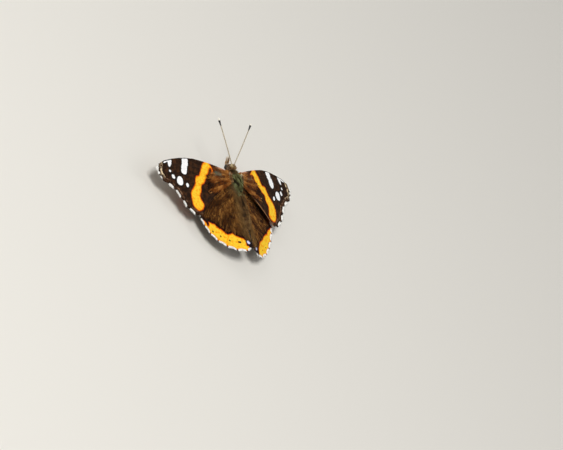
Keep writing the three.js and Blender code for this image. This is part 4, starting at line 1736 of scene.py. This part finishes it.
@dataclass
class BodySkin:
    """One skin through the head, the thorax and the abdomen, lying inside them by the coat's depth.

    The sections of head and thorax are their place along Y, half width, top and bottom. The abdomen
    is round, widens a little to the rear edge of each segment and tapers to the rear.
    """

    sections: tuple[tuple[float, float, float, float], ...] = (
        (5.16, 0.12, 0.36, 0.05), (5.0, 0.62, 0.84, -0.36), (4.6, 1.06, 1.32, -0.68),
        (4.1, 1.14, 1.46, -0.72), (3.6, 0.94, 1.14, -0.6), (3.25, 0.86, 0.94, -0.6),
        (2.8, 1.3, 1.28, -1.15), (2.1, 1.68, 1.86, -1.8), (0.8, 1.98, 2.2, -2.1), (-1.1, 1.9, 2.02, -2.05),
        (-2.4, 1.5, 1.38, -1.8), (-3.2, 1.08, 0.8, -1.4), (-3.6, 1.02, 0.76, -1.3)
    )
    abdomen_front: float = -3.5
    abdomen_rear: float = -14.35
    abdomen_radius: float = 1.38
    waist_share: float = 0.8
    full_at: float = 0.14
    taper_from: float = 0.42
    axis_height: float = -0.25
    axis_drop: float = 0.35
    segments: int = 8
    segment_step: float = 0.05
    rings: int = 220
    sides: int = 72

    def abdomen_section(self, y: Array) -> tuple[Array, Array, Array]:
        """Half width, top and bottom of the abdomen at places along Y.

        Args:
            y: how far forward each place lies.

        Returns:
            Three arrays.
        """
        along = np.clip((self.abdomen_front - y) / (self.abdomen_front - self.abdomen_rear), 0, 1)
        swelling = self.waist_share + (1 - self.waist_share) * np.minimum(along / self.full_at, 1)
        past = np.maximum(0, (along - self.taper_from) / (1 - self.taper_from))
        step = 1 + self.segment_step * ((along * self.segments) % 1 - 0.5)
        radius = self.abdomen_radius * swelling * np.sqrt(1 - np.minimum(past, 0.999) ** 2.3) * step
        middle = self.axis_height - self.axis_drop * along
        return radius, middle + radius, middle - radius

    def section(self, y: Array) -> Array:
        """Half width, top and bottom of the whole body at places along Y, in three columns.

        Args:
            y: how far forward each place lies.

        Returns:
            One row for each place.
        """
        knots = np.array(self.sections)
        front = smooth_path([tuple(row[:3]) for row in knots], 400)
        lower = smooth_path([(row[0], row[3], 0.0) for row in knots], 400)
        width, top = (np.interp(-y, -front[:, 0], front[:, column]) for column in (1, 2))
        bottom = np.interp(-y, -lower[:, 0], lower[:, 1])
        rear = np.stack(self.abdomen_section(y), -1)
        share = ease(y, -3.35, -3.85)[:, None]
        return np.stack([width, top, bottom], -1) * (1 - share) + rear * share

    def stations(self) -> Array:
        """Places of the rings along Y, closer together at both ends.

        Returns:
            How far forward each ring lies.
        """
        share = (1 - np.cos(np.linspace(0, math.pi, self.rings))) / 2
        even = np.linspace(0, 1, self.rings)
        front, rear = self.sections[0][0], self.abdomen_rear
        return front + (rear - front) * (0.25 * share + 0.75 * even)

    def skin(self, y: Array, turn: Array) -> tuple[Array, Array]:
        """Places on the skin.

        Args:
            y: how far forward.
            turn: how far round from the right side, upwards, in radians.

        Returns:
            The points and the directions outwards.
        """

        def at(y: Array, turn: Array) -> Array:
            """Points on the skin.

            Args:
                y: how far forward.
                turn: how far round.

            Returns:
                The points.
            """
            width, top, bottom = self.section(y).T
            middle, half = (top + bottom) / 2, (top - bottom) / 2
            return np.stack([width * np.cos(turn), y, middle + half * np.sin(turn)], -1)

        nudge = 0.02
        points = at(y, turn)
        forward = at(y + nudge, turn) - at(y - nudge, turn)
        round_it = at(y, turn + nudge) - at(y, turn - nudge)
        return points, unit(np.cross(forward, round_it))

    def build(self) -> None:
        """Builds the skin and dresses it."""
        stations = self.stations()
        turn = np.arange(self.sides) / self.sides * 2 * math.pi
        y, turns = np.meshgrid(stations, turn, indexing="ij")
        points, _ = self.skin(y.ravel(), turns.ravel())
        ends = []
        for place in (stations[0], stations[-1]):
            _, top, bottom = self.section(np.array([place]))[0]
            ends.append((0.0, place, (top + bottom) / 2))
        points = np.vstack([points, ends])
        count, sides = self.rings, self.sides
        index = np.arange(count * sides).reshape(count, sides)
        after = np.roll(index, -1, axis=1)
        faces = np.stack([index[:-1], index[1:], after[1:], after[:-1]], -1).reshape(-1, 4).tolist()
        first, last = count * sides, count * sides + 1
        faces += [[first, index[0, side], after[0, side]] for side in range(sides)]
        faces += [[last, after[-1, side], index[-1, side]] for side in range(sides)]
        faces = [face[::-1] for face in faces]
        wear(
            make_object("body_skin", points, faces), ["head", "thorax", "abdomen"],
            [SkinCuticle()]
        )


@dataclass
class BodyCoat:
    """The coat on one stretch of the body's skin."""

    name: str
    slot: str
    finish: HairFinish
    front: float
    rear: float
    rows: int
    columns: int
    comb: Point3 = (0.0, -1.0, 0.0)  # the way that the hair is combed
    fan: float = 0.0  # how far it turns to the sides
    lift: float = 0.3
    seed: int = 51

    def looks(self, points: Array, share: Array, random: np.random.Generator) -> tuple[Array, Array, Array]:
        """Length, tint and hue of the tufts, which each stretch of the body gives."""
        raise NotImplementedError

    def rise(self, points: Array) -> Array:
        """How steeply the tufts rise from the skin, in radians."""
        return np.full(len(points), self.lift)

    def bare(self, points: Array) -> Array:
        """Where no tuft grows."""
        return np.zeros(len(points), bool)

    def build(self, body: BodySkin) -> None:
        """Sets the coat on the body.

        Args:
            body: the skin that it grows on.
        """
        random = np.random.default_rng(self.seed)
        grid = jittered_grid(self.rows, self.columns, random)
        y = self.front + (self.rear - self.front) * grid[:, 0]
        points, outward = body.skin(y, 2 * math.pi * grid[:, 1])
        way = np.array(self.comb) + np.outer(points[:, 0], (self.fan, 0.0, 0.0))
        way = unit(way - outward * np.sum(way * outward, axis=1, keepdims=True))
        steep = self.rise(points)[:, None]
        lie = unit(way * np.cos(steep) + outward * np.sin(steep))
        length, tint, hue = self.looks(points, grid[:, 0], random)
        girth = body.section(y)[:, 0]
        kept = random.uniform(0, 1, len(y)) < np.clip(1.5 * girth / girth.max(), 0.05, 1)
        kept &= ~self.bare(points)
        tint = np.clip(tint + random.normal(0, 0.07, len(tint)), 0, 1)
        roots = Roots(
            points - outward * 0.03, outward, lie, length, tint, np.clip(hue, 0, 1), inset_unwrap(grid)
        )
        Coat(self.name, self.slot, self.finish, seed=self.seed).build(roots.where(kept))


@dataclass
class ThoraxCoat(BodyCoat):
    """Long soft hair: grey green on the back with two dark furrows, and brown on the flanks."""

    furrow_slope: float = 0.43
    furrow_rear: float = -3.1

    def looks(self, points: Array, share: Array, random: np.random.Generator) -> tuple[Array, Array, Array]:
        """Length, tint and hue of the tufts.

        Args:
            points: the roots.
            share: how far to the rear each lies.
            random: the seeded source of the scatter.

        Returns:
            Three arrays.
        """
        x, y, z = points.T
        wisps = soft_noise(points * (4.0, 0.7, 4.0), self.seed)
        furrow = self.furrow_slope * (y - self.furrow_rear) + 0.1
        dark = np.exp(-(((np.abs(x) - furrow) / 0.26) ** 2)) * (z > 0)
        flank = ease(z, 1.05, 0.45) * ease(y, -4.4, -3.0)
        tint = 0.06 + wisps - 0.6 * dark + 0.25 * ease(z, -0.6, -1.5) + random.normal(0, 0.08, len(z))
        hue = flank * (0.7 + 0.4 * wisps) + 0.75 * ease(y, 1.2, 2.2)
        return 0.75 + 0.8 * ease(share, 0.0, 0.5) + 0.25 * ease(y, 2.2, 2.9), tint, hue

    def rise(self, points: Array) -> Array:
        """How steeply the tufts rise: most in front, round the neck."""
        return self.lift + 0.6 * ease(points[:, 1], 2.0, 2.9)


@dataclass
class HeadCoat(BodyCoat):
    """Short bristly hair: brown and tan, with cream on the crown between the feelers."""

    eye: Point3 = EYE_PLACE
    eye_reach: Point3 = (0.64, 0.84, 0.92)
    socket: Point2 = (0.5, 4.45)  # foot of the right feeler

    def looks(self, points: Array, share: Array, random: np.random.Generator) -> tuple[Array, Array, Array]:
        """Length, tint and hue of the tufts.

        Args:
            points: the roots.
            share: how far to the rear each lies; not used here.
            random: the seeded source of the scatter; not used here.

        Returns:
            Three arrays.
        """
        x, y, z = points.T
        wisps = soft_noise(points * 2.2, self.seed)
        crown = ease(z, 0.6, 1.2)
        ring = np.exp(-(((np.hypot(np.abs(x) - self.socket[0], y - self.socket[1]) - 0.5) / 0.2) ** 2))
        cream = 0.9 * crown * ring * ease(wisps, 0.3, 0.5) + ease(z, 0.0, -0.5) * 0.8
        length = 0.46 + 0.42 * crown + 0.4 * ease(y, 4.2, 3.7)
        return length, 0.1 + 0.85 * wisps, cream

    def rise(self, points: Array) -> Array:
        """How steeply the tufts rise: most round the neck."""
        return self.lift + 0.45 * ease(points[:, 1], 4.1, 3.6)

    def bare(self, points: Array) -> Array:
        """Where no tuft grows: under the eyes."""
        off = (np.abs(points) * (1, 0, 0) + points * (0, 1, 1) - np.array(self.eye)) / np.array(
            self.eye_reach
        )
        return np.linalg.norm(off, axis=1) < 1


@dataclass
class AbdomenCoat(BodyCoat):
    """Soft brown hair over dark rings, paler below."""

    segments: int = 8

    def looks(self, points: Array, share: Array, random: np.random.Generator) -> tuple[Array, Array, Array]:
        """Length, tint and hue of the tufts.

        Args:
            points: the roots.
            share: how far to the rear each lies.
            random: the seeded source of the scatter; not used here.

        Returns:
            Three arrays.
        """
        z = points[:, 2]
        wisps = soft_noise(points * (2.2, 0.5, 2.2), self.seed)
        ring = np.abs(((share * self.segments) % 1) - 0.5) * 2
        tint = 0.1 + 0.75 * wisps - 0.3 * ease(ring, 0.75, 1.0)
        hue = 0.9 * ease(z, -0.6, -1.3) + 0.35 * ease(share, 0.12, 0.0)
        return 1.25 - 0.5 * share, tint, hue


COATS = (
    ThoraxCoat(
        name="thorax_hair", slot="thorax_coat",
        finish=HairFinish(
            name="thorax_hair", ground="#251f0c", middle="#6e6b3c", light="#b0b47e", second="#836844"
        ),
        front=3.3, rear=-3.9, rows=68, columns=42, fan=0.12, lift=0.2
    ),
    HeadCoat(
        name="head_hair", slot="head_coat",
        finish=HairFinish(
            name="head_hair", ground="#352210", middle="#86623a", light="#c29c6c", second="#ecdcae"
        ),
        front=5.14, rear=3.3, rows=36, columns=48, comb=(0.0, 0.25, 0.9), fan=0.7, lift=0.6, seed=52
    ),
    AbdomenCoat(
        name="abdomen_hair", slot="abdomen_coat",
        finish=HairFinish(
            name="abdomen_hair", ground="#35230e", middle="#805d34", light="#b8925c", second="#b0905c"
        ),
        front=-3.4, rear=-14.3, rows=84, columns=32, fan=0.06, lift=0.16, seed=53
    )
)


@dataclass
class Tegulae:
    """The two furry lobes that cover the roots of the forewings."""

    knots: tuple[Point3, ...] = ((2.2, 2.3, 0.8), (2.8, 1.8, 1.13), (2.85, 0.7, 1.18), (2.45, -0.45, 0.95))
    radius: float = 0.46
    rows: int = 24
    columns: int = 15
    hair_length: float = 0.75
    seed: int = 54
    finish: HairFinish = HairFinish(
        name="shoulder_hair", ground="#3f2914", middle="#8e6840", light="#c09e70", second="#f0e2ba"
    )

    def build(self) -> None:
        """Builds both lobes and their hair."""
        swelling = 0.7 + 0.3 * np.sin(np.pi * np.linspace(0, 1, 40))
        for side in Side:
            limb = Limb(smooth_path(self.knots, 40), rounded(self.radius * swelling, 6), 20, side)
            wear(make_object(f"shoulder_{side.value}_lobe", *limb.mesh()), [], [SkinCuticle()])
            random = np.random.default_rng(self.seed)
            grid = jittered_grid(self.rows, self.columns, random)
            roots = limb_roots(limb, grid, self.hair_length, 0.3)
            roots.tint = np.clip(0.15 + 0.8 * soft_noise(roots.points * 2.0, self.seed), 0, 1)
            roots.hue = ease(grid[:, 0], 0.42, 0.2)
            Coat(f"shoulder_{side.value}_hair", "thorax_coat", self.finish, seed=self.seed).build(roots)


@dataclass
class Eyes:
    """The two compound eyes, which bulge from the sides of the head."""

    middle: Point3 = EYE_PLACE
    half_sizes: Point3 = (0.6, 0.82, 0.9)
    rings: int = 40
    sides: int = 56
    rim_scales: int = 130
    rim_inset: float = 0.22
    rim_length: float = 0.2
    hood_turn: float = 2.3  # where the hood of hair behind and above the eye is thickest, from the front
    hood_length: float = 0.62
    hair_way: Point3 = (0.57, 0.33, -0.75)  # the short hair on the eye is combed outwards, forward and down
    hair_edge: float = 0.0  # how far that way it grows, on a ball of radius one
    hair_length: float = 0.34
    hair_lift: float = 0.3
    rim_seed: int = 61
    rim_finish: HairFinish = HairFinish(
        name="eye_rim_hair", ground="#5c402e", middle="#a08060", light="#e6d3b4", second="#7a5a49"
    )

    def build(self) -> None:
        """Builds both eyes and dresses them."""
        polar = np.linspace(0, math.pi, self.rings)
        axis = np.stack([-np.cos(polar), polar * 0, polar * 0], -1)
        for side in Side:
            ball, faces, _ = Limb(axis, np.sin(polar), self.sides, side).mesh()
            points = ball * np.array(self.half_sizes) + side.turned(np.array(self.middle))
            piece = make_object(f"eye_{side.value}_facets", points, faces)
            wear(piece, [f"eye_{side.value}"], [EyeFacets()])
            self.build_rim(side)
            self.build_hair(side)

    def build_hair(self, side: Side) -> None:
        """Sets the short hair that stands on the upper and rear half of one eye.

        Args:
            side: the eye's side.
        """
        random = np.random.default_rng(self.rim_seed + 1)
        grid = jittered_grid(28, 44, random)
        slope, turn = -0.2 + 1.65 * grid[:, 0], grid[:, 1] * 2 * math.pi
        ball = np.stack([np.sin(slope), np.cos(slope) * np.cos(turn), np.cos(slope) * np.sin(turn)], -1)
        outward = unit(ball / np.array(self.half_sizes))
        way = np.array(self.hair_way)
        lie = unit(unit(way - outward * (outward @ way)[:, None]) + outward * math.tan(self.hair_lift))
        kept = ball @ way + random.normal(0, 0.06, len(ball)) < self.hair_edge
        points = ball * np.array(self.half_sizes) - outward * 0.02 + np.array(self.middle)
        streak = soft_noise(points * 3.0, self.rim_seed)
        roots = Roots(
            points, outward, lie, np.full(len(grid), self.hair_length),
            np.clip(0.15 + 0.8 * streak + random.normal(0, 0.12, len(grid)), 0, 1),
            np.full(len(grid), 0.45), inset_unwrap(grid)
        )
        shape = TuftShape(strands=2, width=0.09)
        coat = Coat(f"eye_{side.value}_hair", "head_coat", self.rim_finish, shape, seed=5)
        coat.build(roots.where(kept).turned(side))

    def build_rim(self, side: Side) -> None:
        """Sets a rim of short pale hair round one eye, with a longer brown hood behind and above it.

        Args:
            side: the eye's side.
        """
        random = np.random.default_rng(self.rim_seed)
        grid = jittered_grid(3, self.rim_scales, random, 0.3)
        turn = grid[:, 1] * 2 * math.pi
        hood = ease(np.cos(turn - self.hood_turn), 0.0, 0.7)
        ring = np.stack([turn * 0, np.cos(turn), np.sin(turn)], -1)
        slope = self.rim_inset + 0.1 * grid[:, 0]
        places = ring * np.array(self.half_sizes) * np.cos(slope)[:, None]
        places[:, 0] -= self.half_sizes[0] * np.sin(slope)
        outward = unit(ring / np.array(self.half_sizes) - (0.3, 0, 0))
        lie = unit(outward * (1 - 0.75 * hood)[:, None] + (0.9, 0, 0))
        roots = Roots(
            places + np.array(self.middle), outward, lie,
            self.rim_length + (self.hood_length - self.rim_length) * hood,
            random.uniform(0.4, 1, len(grid)) - 0.3 * hood, 0.8 * hood,
            inset_unwrap(np.column_stack([grid[:, 1], grid[:, 0]]))
        )
        shape = TuftShape(strands=2, width=0.1)
        Coat(f"eye_{side.value}_rim", "head_coat", self.rim_finish, shape, seed=3).build(roots.turned(side))


@dataclass
class Feelers:
    """The two antennae: jointed shafts that end in a club."""

    foot: Point3 = (0.5, 4.45, 1.2)
    base: Point3 = (0.68, 4.75, 1.85)
    tip: Point3 = (7.9, 15.55, 7.25)
    bow: Point3 = (0.08, 0.06, 0.16)
    shaft_radius: float = 0.16
    club_radius: float = 0.3
    club_length: float = 2.4
    club_widest: float = 0.72  # the share of the club at which it is thickest
    white_length: float = 0.72
    joint: float = 0.34
    rings_per_joint: int = 5

    def path(self) -> Limb:
        """The right feeler as a limb.

        Returns:
            The limb.
        """
        base, tip = np.array(self.base), np.array(self.tip)
        middle = (base + tip) / 2 + 2 * np.array(self.bow)
        share = np.linspace(0, 1, 60)[:, None]
        curve = base * (1 - share) ** 2 + middle * 2 * share * (1 - share) + tip * share**2
        knots = np.vstack([np.array([self.foot]), curve])
        length = np.linalg.norm(np.diff(knots, axis=0), axis=1).sum()
        centres = smooth_path(
            [tuple(knot) for knot in knots], round(length / self.joint * self.rings_per_joint)
        )
        reach = np.linspace(0, length, len(centres))
        phase = (reach / self.joint) % 1
        club = np.clip((reach - (length - self.club_length)) / self.club_length, 0, 1)
        shaft = self.shaft_radius * (0.85 + 0.2 * np.sin(np.pi * phase))
        radii = shaft + (self.club_radius - shaft) * ease(club, 0.0, self.club_widest)
        past = np.clip((club - self.club_widest) / (1 - self.club_widest), 0, 0.985)
        return Limb(centres, radii * np.sqrt(1 - past**2), 18)

    def build(self) -> None:
        """Builds both feelers and dresses them."""
        length = self.path().lengths()[-1]
        finish = RingedHorn(
            joint_mm=self.joint, club_from_mm=length - self.club_length,
            tip_from_mm=length - self.white_length
        )
        for side in Side:
            piece = make_object(f"antenna_{side.value}_shaft", *replace(self.path(), side=side).mesh())
            wear(piece, [f"antenna_{side.value}"], [finish])


@dataclass
class MouthParts:
    """The two palps in front of the face and the coiled tongue between them."""

    palp_bends: tuple[Point3, ...] = (
        (0.5, 4.95, -0.35), (0.5, 5.8, 0.02), (0.46, 6.6, 0.65), (0.4, 7.3, 1.2)
    )
    palp_belly: float = 0.24
    palp_root: float = 0.18
    palp_hair: float = 0.3
    palp_seed: int = 71
    # The dark second colour is painted shade on the sides where the two palps face each other.
    palp_finish: HairFinish = HairFinish(
        name="palp_hair", ground="#8a6440", middle="#ddb686", light="#ffefd6", second="#5e4026"
    )
    palp_tip: float = 0.07
    mouth: Point3 = (0.0, 4.1, -0.72)
    coil_middle: Point2 = (3.85, -2.4)  # along Y and Z
    coil_root_turn: float = 65.0  # degrees from forward to up, from where it coils forward and down
    coil_turns: float = 2.6
    coil_reach: float = 1.0
    coil_pitch: float = 0.31
    tongue_radius: float = 0.16

    def palp(self) -> Limb:
        """The right palp as a limb.

        Returns:
            The limb.
        """
        centres = smooth_path(self.palp_bends, 60)
        share = np.linspace(0, 1, len(centres))
        radii = self.palp_root + (self.palp_belly - self.palp_root) * np.sin(np.pi * share)
        radii = radii + (self.palp_tip - radii) * share**4
        return Limb(centres, rounded(radii, 4), 20)

    def tongue(self) -> Limb:
        """The coiled tongue as a limb.

        Returns:
            The limb.
        """
        share = np.linspace(0, 1, 60)
        angle = math.radians(self.coil_root_turn) - share * self.coil_turns * 2 * math.pi
        reach = self.coil_reach - self.coil_pitch * self.coil_turns * share
        y, z = self.coil_middle
        coil = np.stack([share * 0, y + reach * np.cos(angle), z + reach * np.sin(angle)], -1)
        centres = smooth_path([self.mouth, *map(tuple, coil)], 280)
        taper = np.linspace(1, 0.55, len(centres))
        return Limb(centres, rounded(self.tongue_radius * taper, 4), 14)

    def build(self) -> None:
        """Builds the palps and the tongue and dresses them."""
        cuticle = SkinCuticle(name="cuticle_of_palps", ground="#8a6a42", clouds="#c9a878")
        for side in Side:
            limb = replace(self.palp(), side=side)
            wear(
                make_object(f"palp_{side.value}_core", *limb.mesh()), [f"palp_{side.value}"],
                [cuticle]
            )
            random = np.random.default_rng(self.palp_seed)
            grid = jittered_grid(30, 14, random) * (0.94, 1.0) + (0.04, 0.0)
            roots = limb_roots(limb, grid, self.palp_hair, 0.28)
            roots.tint = np.clip(0.25 + 0.75 * soft_noise(roots.points * 2.4, self.palp_seed), 0, 1)
            # Painted shade: the palps' facing sides take the dark second colour, as if shaded between the two
            # palps.
            roots.hue = 0.8 * ease(np.abs(roots.points[:, 0]), 0.38, 0.28)
            Coat(f"palp_{side.value}_hair", "palps", self.palp_finish, seed=self.palp_seed).build(roots)
        wear(make_object("tongue_coil", *self.tongue().mesh()), ["proboscis"], [TongueHorn()])


@dataclass
class Leg:
    """A leg from hip to toe: thigh, shin and a foot of five joints with two claws."""

    name: str
    joints: tuple[Point3, ...]
    radii: tuple[float, ...]  # at the hip, the knee, the ankle and the toe
    foot_joints: int = 5
    rings: int = 150
    claws: bool = True
    hair: float = 0.2
    seed: int = 81
    finish: HairFinish = HairFinish(
        name="leg_hair", ground="#3f2b1a", middle="#8a6840", light="#cbb083", second="#2a1c12"
    )

    def limb(self) -> Limb:
        """The leg of the right side as a limb.

        Returns:
            The limb.
        """
        corners = [np.array(joint, float) for joint in self.joints]
        knots = [corners[0]]
        for before, corner, after in zip(corners[:-2], corners[1:-1], corners[2:]):
            knots.append(corner + (before - corner) * 0.08)
            knots.append(corner + (after - corner) * 0.08)
        knots.append(corners[-1])
        knots = [knots[0], (knots[0] + knots[1]) / 2, *knots[1:]]
        centres = smooth_path([tuple(knot) for knot in knots], self.rings)
        lengths = Limb(centres, np.ones(len(centres))).lengths()
        stops = [0.0]
        for corner in corners[1:-1]:
            stops.append(lengths[np.argmin(np.linalg.norm(centres - corner, axis=1))])
        stops.append(lengths[-1])
        bone = np.clip(np.searchsorted(stops, lengths, side="right") - 1, 0, len(stops) - 2)
        share = (lengths - np.array(stops)[bone]) / np.diff(stops)[bone]
        radii = np.interp(lengths, stops, self.radii)
        fat = 1 + 0.22 * np.sin(np.pi * np.clip(share, 0, 1))
        pinch = 1 - 0.3 * np.exp(-((share / 0.04) ** 2)) - 0.3 * np.exp(-(((1 - share) / 0.04) ** 2))
        foot = bone == len(stops) - 2
        phase = (share * self.foot_joints) % 1
        radii = np.where(foot, radii * (0.82 + 0.3 * phase), radii * fat * pinch)
        return self.standing(centres, rounded(radii, 3), 16)

    def standing(self, centres: Array, radii: Array, sides: int) -> Limb:
        """A limb that is lifted wherever it would go through the floor."""
        centres[:, 2] = np.maximum(centres[:, 2], radii - THORAX_MIDDLE[2])
        return Limb(centres, radii, sides)

    def spikes(self) -> list[Limb]:
        """The two claws of the foot and the two spurs at the end of the shin, on the right side.

        Returns:
            The limbs.
        """
        _, knee, ankle, toe = (np.array(joint) for joint in self.joints)
        made = []
        for end, before, reach, sink in ((toe, ankle, 0.4, 0.1), (ankle, knee, 0.5, 0.0)):
            ahead = unit(end - before)
            aside = unit(np.cross(ahead, (0.0, 0.0, 1.0)))
            for side in (-1, 1):
                bend = end + 0.5 * reach * ahead + 0.12 * side * aside
                tip = end + reach * ahead + 0.2 * side * aside - np.array([0, 0, sink])
                path = smooth_path((tuple(end), tuple(bend), tuple(tip)), 12)
                made.append(self.standing(path, np.linspace(0.05, 0.012, 12), 8))
        return made

    def build(self) -> None:
        """Builds the leg of both sides and dresses them."""
        shape = TuftShape(strands=1, width=0.09)
        for side in Side:
            name = f"{self.name}_{side.value}"
            limbs = [
                replace(limb, side=side) for limb in (self.limb(), *(self.spikes() if self.claws else ()))
            ]
            piece = make_object(f"{name}_limb", *joined([limb.mesh() for limb in limbs]))
            wear(piece, [name], [LegScales()])
            random = np.random.default_rng(self.seed)
            grid = jittered_grid(100, 9, random) * (0.94, 1.0) + (0.05, 0.0)
            roots = limb_roots(limbs[0], grid, self.hair, 0.35)
            spine = random.uniform(0, 1, len(grid)) < 0.1
            roots.length = roots.length * np.where(spine, 1.7, 1.0)
            roots.tint = random.uniform(0.2, 1, len(grid))
            roots.hue = spine * 0.8
            above = roots.points[:, 2] + 1.4 * roots.length * np.minimum(
                roots.lie[:, 2], -0.1
            ) > -THORAX_MIDDLE[2]
            Coat(f"{name}_hair", "legs", self.finish, shape, seed=self.seed).build(roots.where(above))


LEGS = (
    Leg(
        "foreleg", ((0.8, 2.3, -1.55), (1.0, 3.7, -1.95), (1.08, 4.35, -2.55), (0.9, 3.6, -3.3)),
        (0.28, 0.22, 0.18, 0.12), claws=False, hair=0.42
    ),
    Leg(
        "midleg", ((0.95, 0.5, -1.75), (4.2, 1.9, -2.2), (5.7, 3.1, -6.7), (7.2, 4.7, -6.8)),
        (0.32, 0.19, 0.14, 0.09)
    ),
    Leg(
        "hindleg", ((0.95, -1.8, -1.6), (3.9, -4.9, -3.15), (5.6, -8.3, -6.7), (6.9, -11.5, -6.8)),
        (0.32, 0.19, 0.14, 0.09)
    )
)


# Studio.


@dataclass(frozen=True)
class Studio:
    """The pale floor, the lights and the camera at the photograph's angle."""

    towards_camera: Point3 = (-0.82018, -0.31982, 0.47436)
    picture_right: Point3 = (0.56584, -0.33111, 0.75511)
    picture_down: Point3 = (0.08443, -0.88774, -0.45254)
    picture_middle: Point3 = (8.51, -14.92, 4.66)  # millimetres from the thorax
    camera_distance: float = 1.2
    picture_width: float = 0.156  # what the picture spans at the butterfly
    sensor: float = 36.0
    floor_size: float = 3.0

    def build(self) -> None:
        """Makes the floor, the lights, the sky and the camera."""
        self.make_floor()
        self.make_lights()
        self.make_camera()

    def make_floor(self) -> None:
        """Lays a square floor at the level of the feet."""
        half = self.floor_size / 2
        mesh = bpy.data.meshes.new("floor")
        corners = [(-half, -half, 0), (half, -half, 0), (half, half, 0), (-half, half, 0)]
        mesh.from_pydata(corners, [], [(0, 1, 2, 3)])
        mesh.materials.append(FloorFinish().material())
        show("floor", mesh)

    def make_lights(self) -> None:
        """Hangs a soft key light, a fill and a back light, under a pale sky."""
        lamps = (
            ("key_light", (-0.42, -0.06, 0.74), 0.3, 5.2), ("fill_light", (-0.6, 0.6, 0.45), 0.6, 1.2),
            ("back_light", (0.6, -0.2, 0.5), 0.5, 0.9)
        )
        for name, place, size, power in lamps:
            data = bpy.data.lights.new(name, "AREA")
            data.energy = power
            data.size = size
            lamp = show(name, data)
            lamp.location = place
            lamp.rotation_euler = (-Vector(place)).to_track_quat("-Z", "Y").to_euler()
        world = bpy.data.worlds.new("studio_sky")
        world.use_nodes = True
        world.node_tree.nodes.clear()
        sky = add_node(
            world.node_tree, "ShaderNodeBackground", {"Color": linear("#f3f5f8"), "Strength": 0.25}
        )
        add_node(world.node_tree, "ShaderNodeOutputWorld", {"Surface": sky.outputs[0]})
        bpy.context.scene.world = world
        bpy.context.scene.view_settings.view_transform = "Standard"

    def make_camera(self) -> None:
        """Sets the camera so that the butterfly has the photograph's place, size and turn."""
        data = bpy.data.cameras.new("camera")
        data.sensor_width = self.sensor
        data.lens = self.sensor * self.camera_distance / self.picture_width
        data.clip_end = 10.0
        camera = show("camera", data)
        right, down, back = (Vector(each).normalized() for each in (
            self.picture_right, self.picture_down, self.towards_camera))
        turn = Matrix((right, -down, back)).transposed().to_4x4()
        middle = Vector(to_frame(np.array(self.picture_middle)))
        camera.matrix_world = Matrix.Translation(middle + back * self.camera_distance) @ turn
        bpy.context.scene.camera = camera


def main() -> None:
    """Builds the butterfly and its studio."""
    logging.basicConfig(level=logging.INFO, format="%(name)s: %(message)s")
    faces = {side: WingScales(name=f"wing_scales_{side.value}", side=side) for side in WingSide}
    right = {
        "patch_fade": 0.35, "rear_line": 1.0,
        "lines_strength": (0.45, 0.55, 0.78, 0.74, 0.74, 0.84, 1.0, 1.0),
        "fleck": Spot((13.1, -3.2), (13.1, -3.2), 0.18)
    }
    corner = {
        "band": RIGHT_BORDER, "dots": RIGHT_DOTS, "tuft": Spot((2.9, -21.15), (2.45, -20.95), 0.35),
        "lilac": Spot((3.3, -19.0), (3.05, -19.35), 0.42), "corner": Spot((3.5, -18.8), (2.6, -19.9), 1.1)
    }
    right_plan = hindwing_plan(0.09, RIGHT_HINDWING_FRONT, RIGHT_HINDWING_VEINS)
    left_plan = hindwing_plan(0.02, (16.6, -5.6), HINDWING_VEINS)
    for side, hindwing_drawing in ((Side.RIGHT, right_plan), (Side.LEFT, left_plan)):
        forewing = Forewing(
            name=f"forewing_{side.value}", plan=FOREWING, side=side, above=faces[WingSide.FOREWING_ABOVE],
            below=faces[WingSide.FOREWING_BELOW], slot="forewings", **(right if side is Side.RIGHT else {})
        )
        forewing.build_all()
        hindwing = Hindwing(
            name=f"hindwing_{side.value}", plan=hindwing_drawing, side=side,
            above=faces[WingSide.HINDWING_ABOVE], below=faces[WingSide.HINDWING_BELOW], slot="hindwings",
            rows=110, columns=170, seed=31, **(corner if side is Side.RIGHT else {})
        )
        hindwing.build_all()
    body = BodySkin()
    body.build()
    for coat in COATS:
        coat.build(body)
    Tegulae().build()
    Eyes().build()
    Feelers().build()
    MouthParts().build()
    for leg in LEGS:
        leg.build()
    Studio().build()


if __name__ == "__main__":
    main()
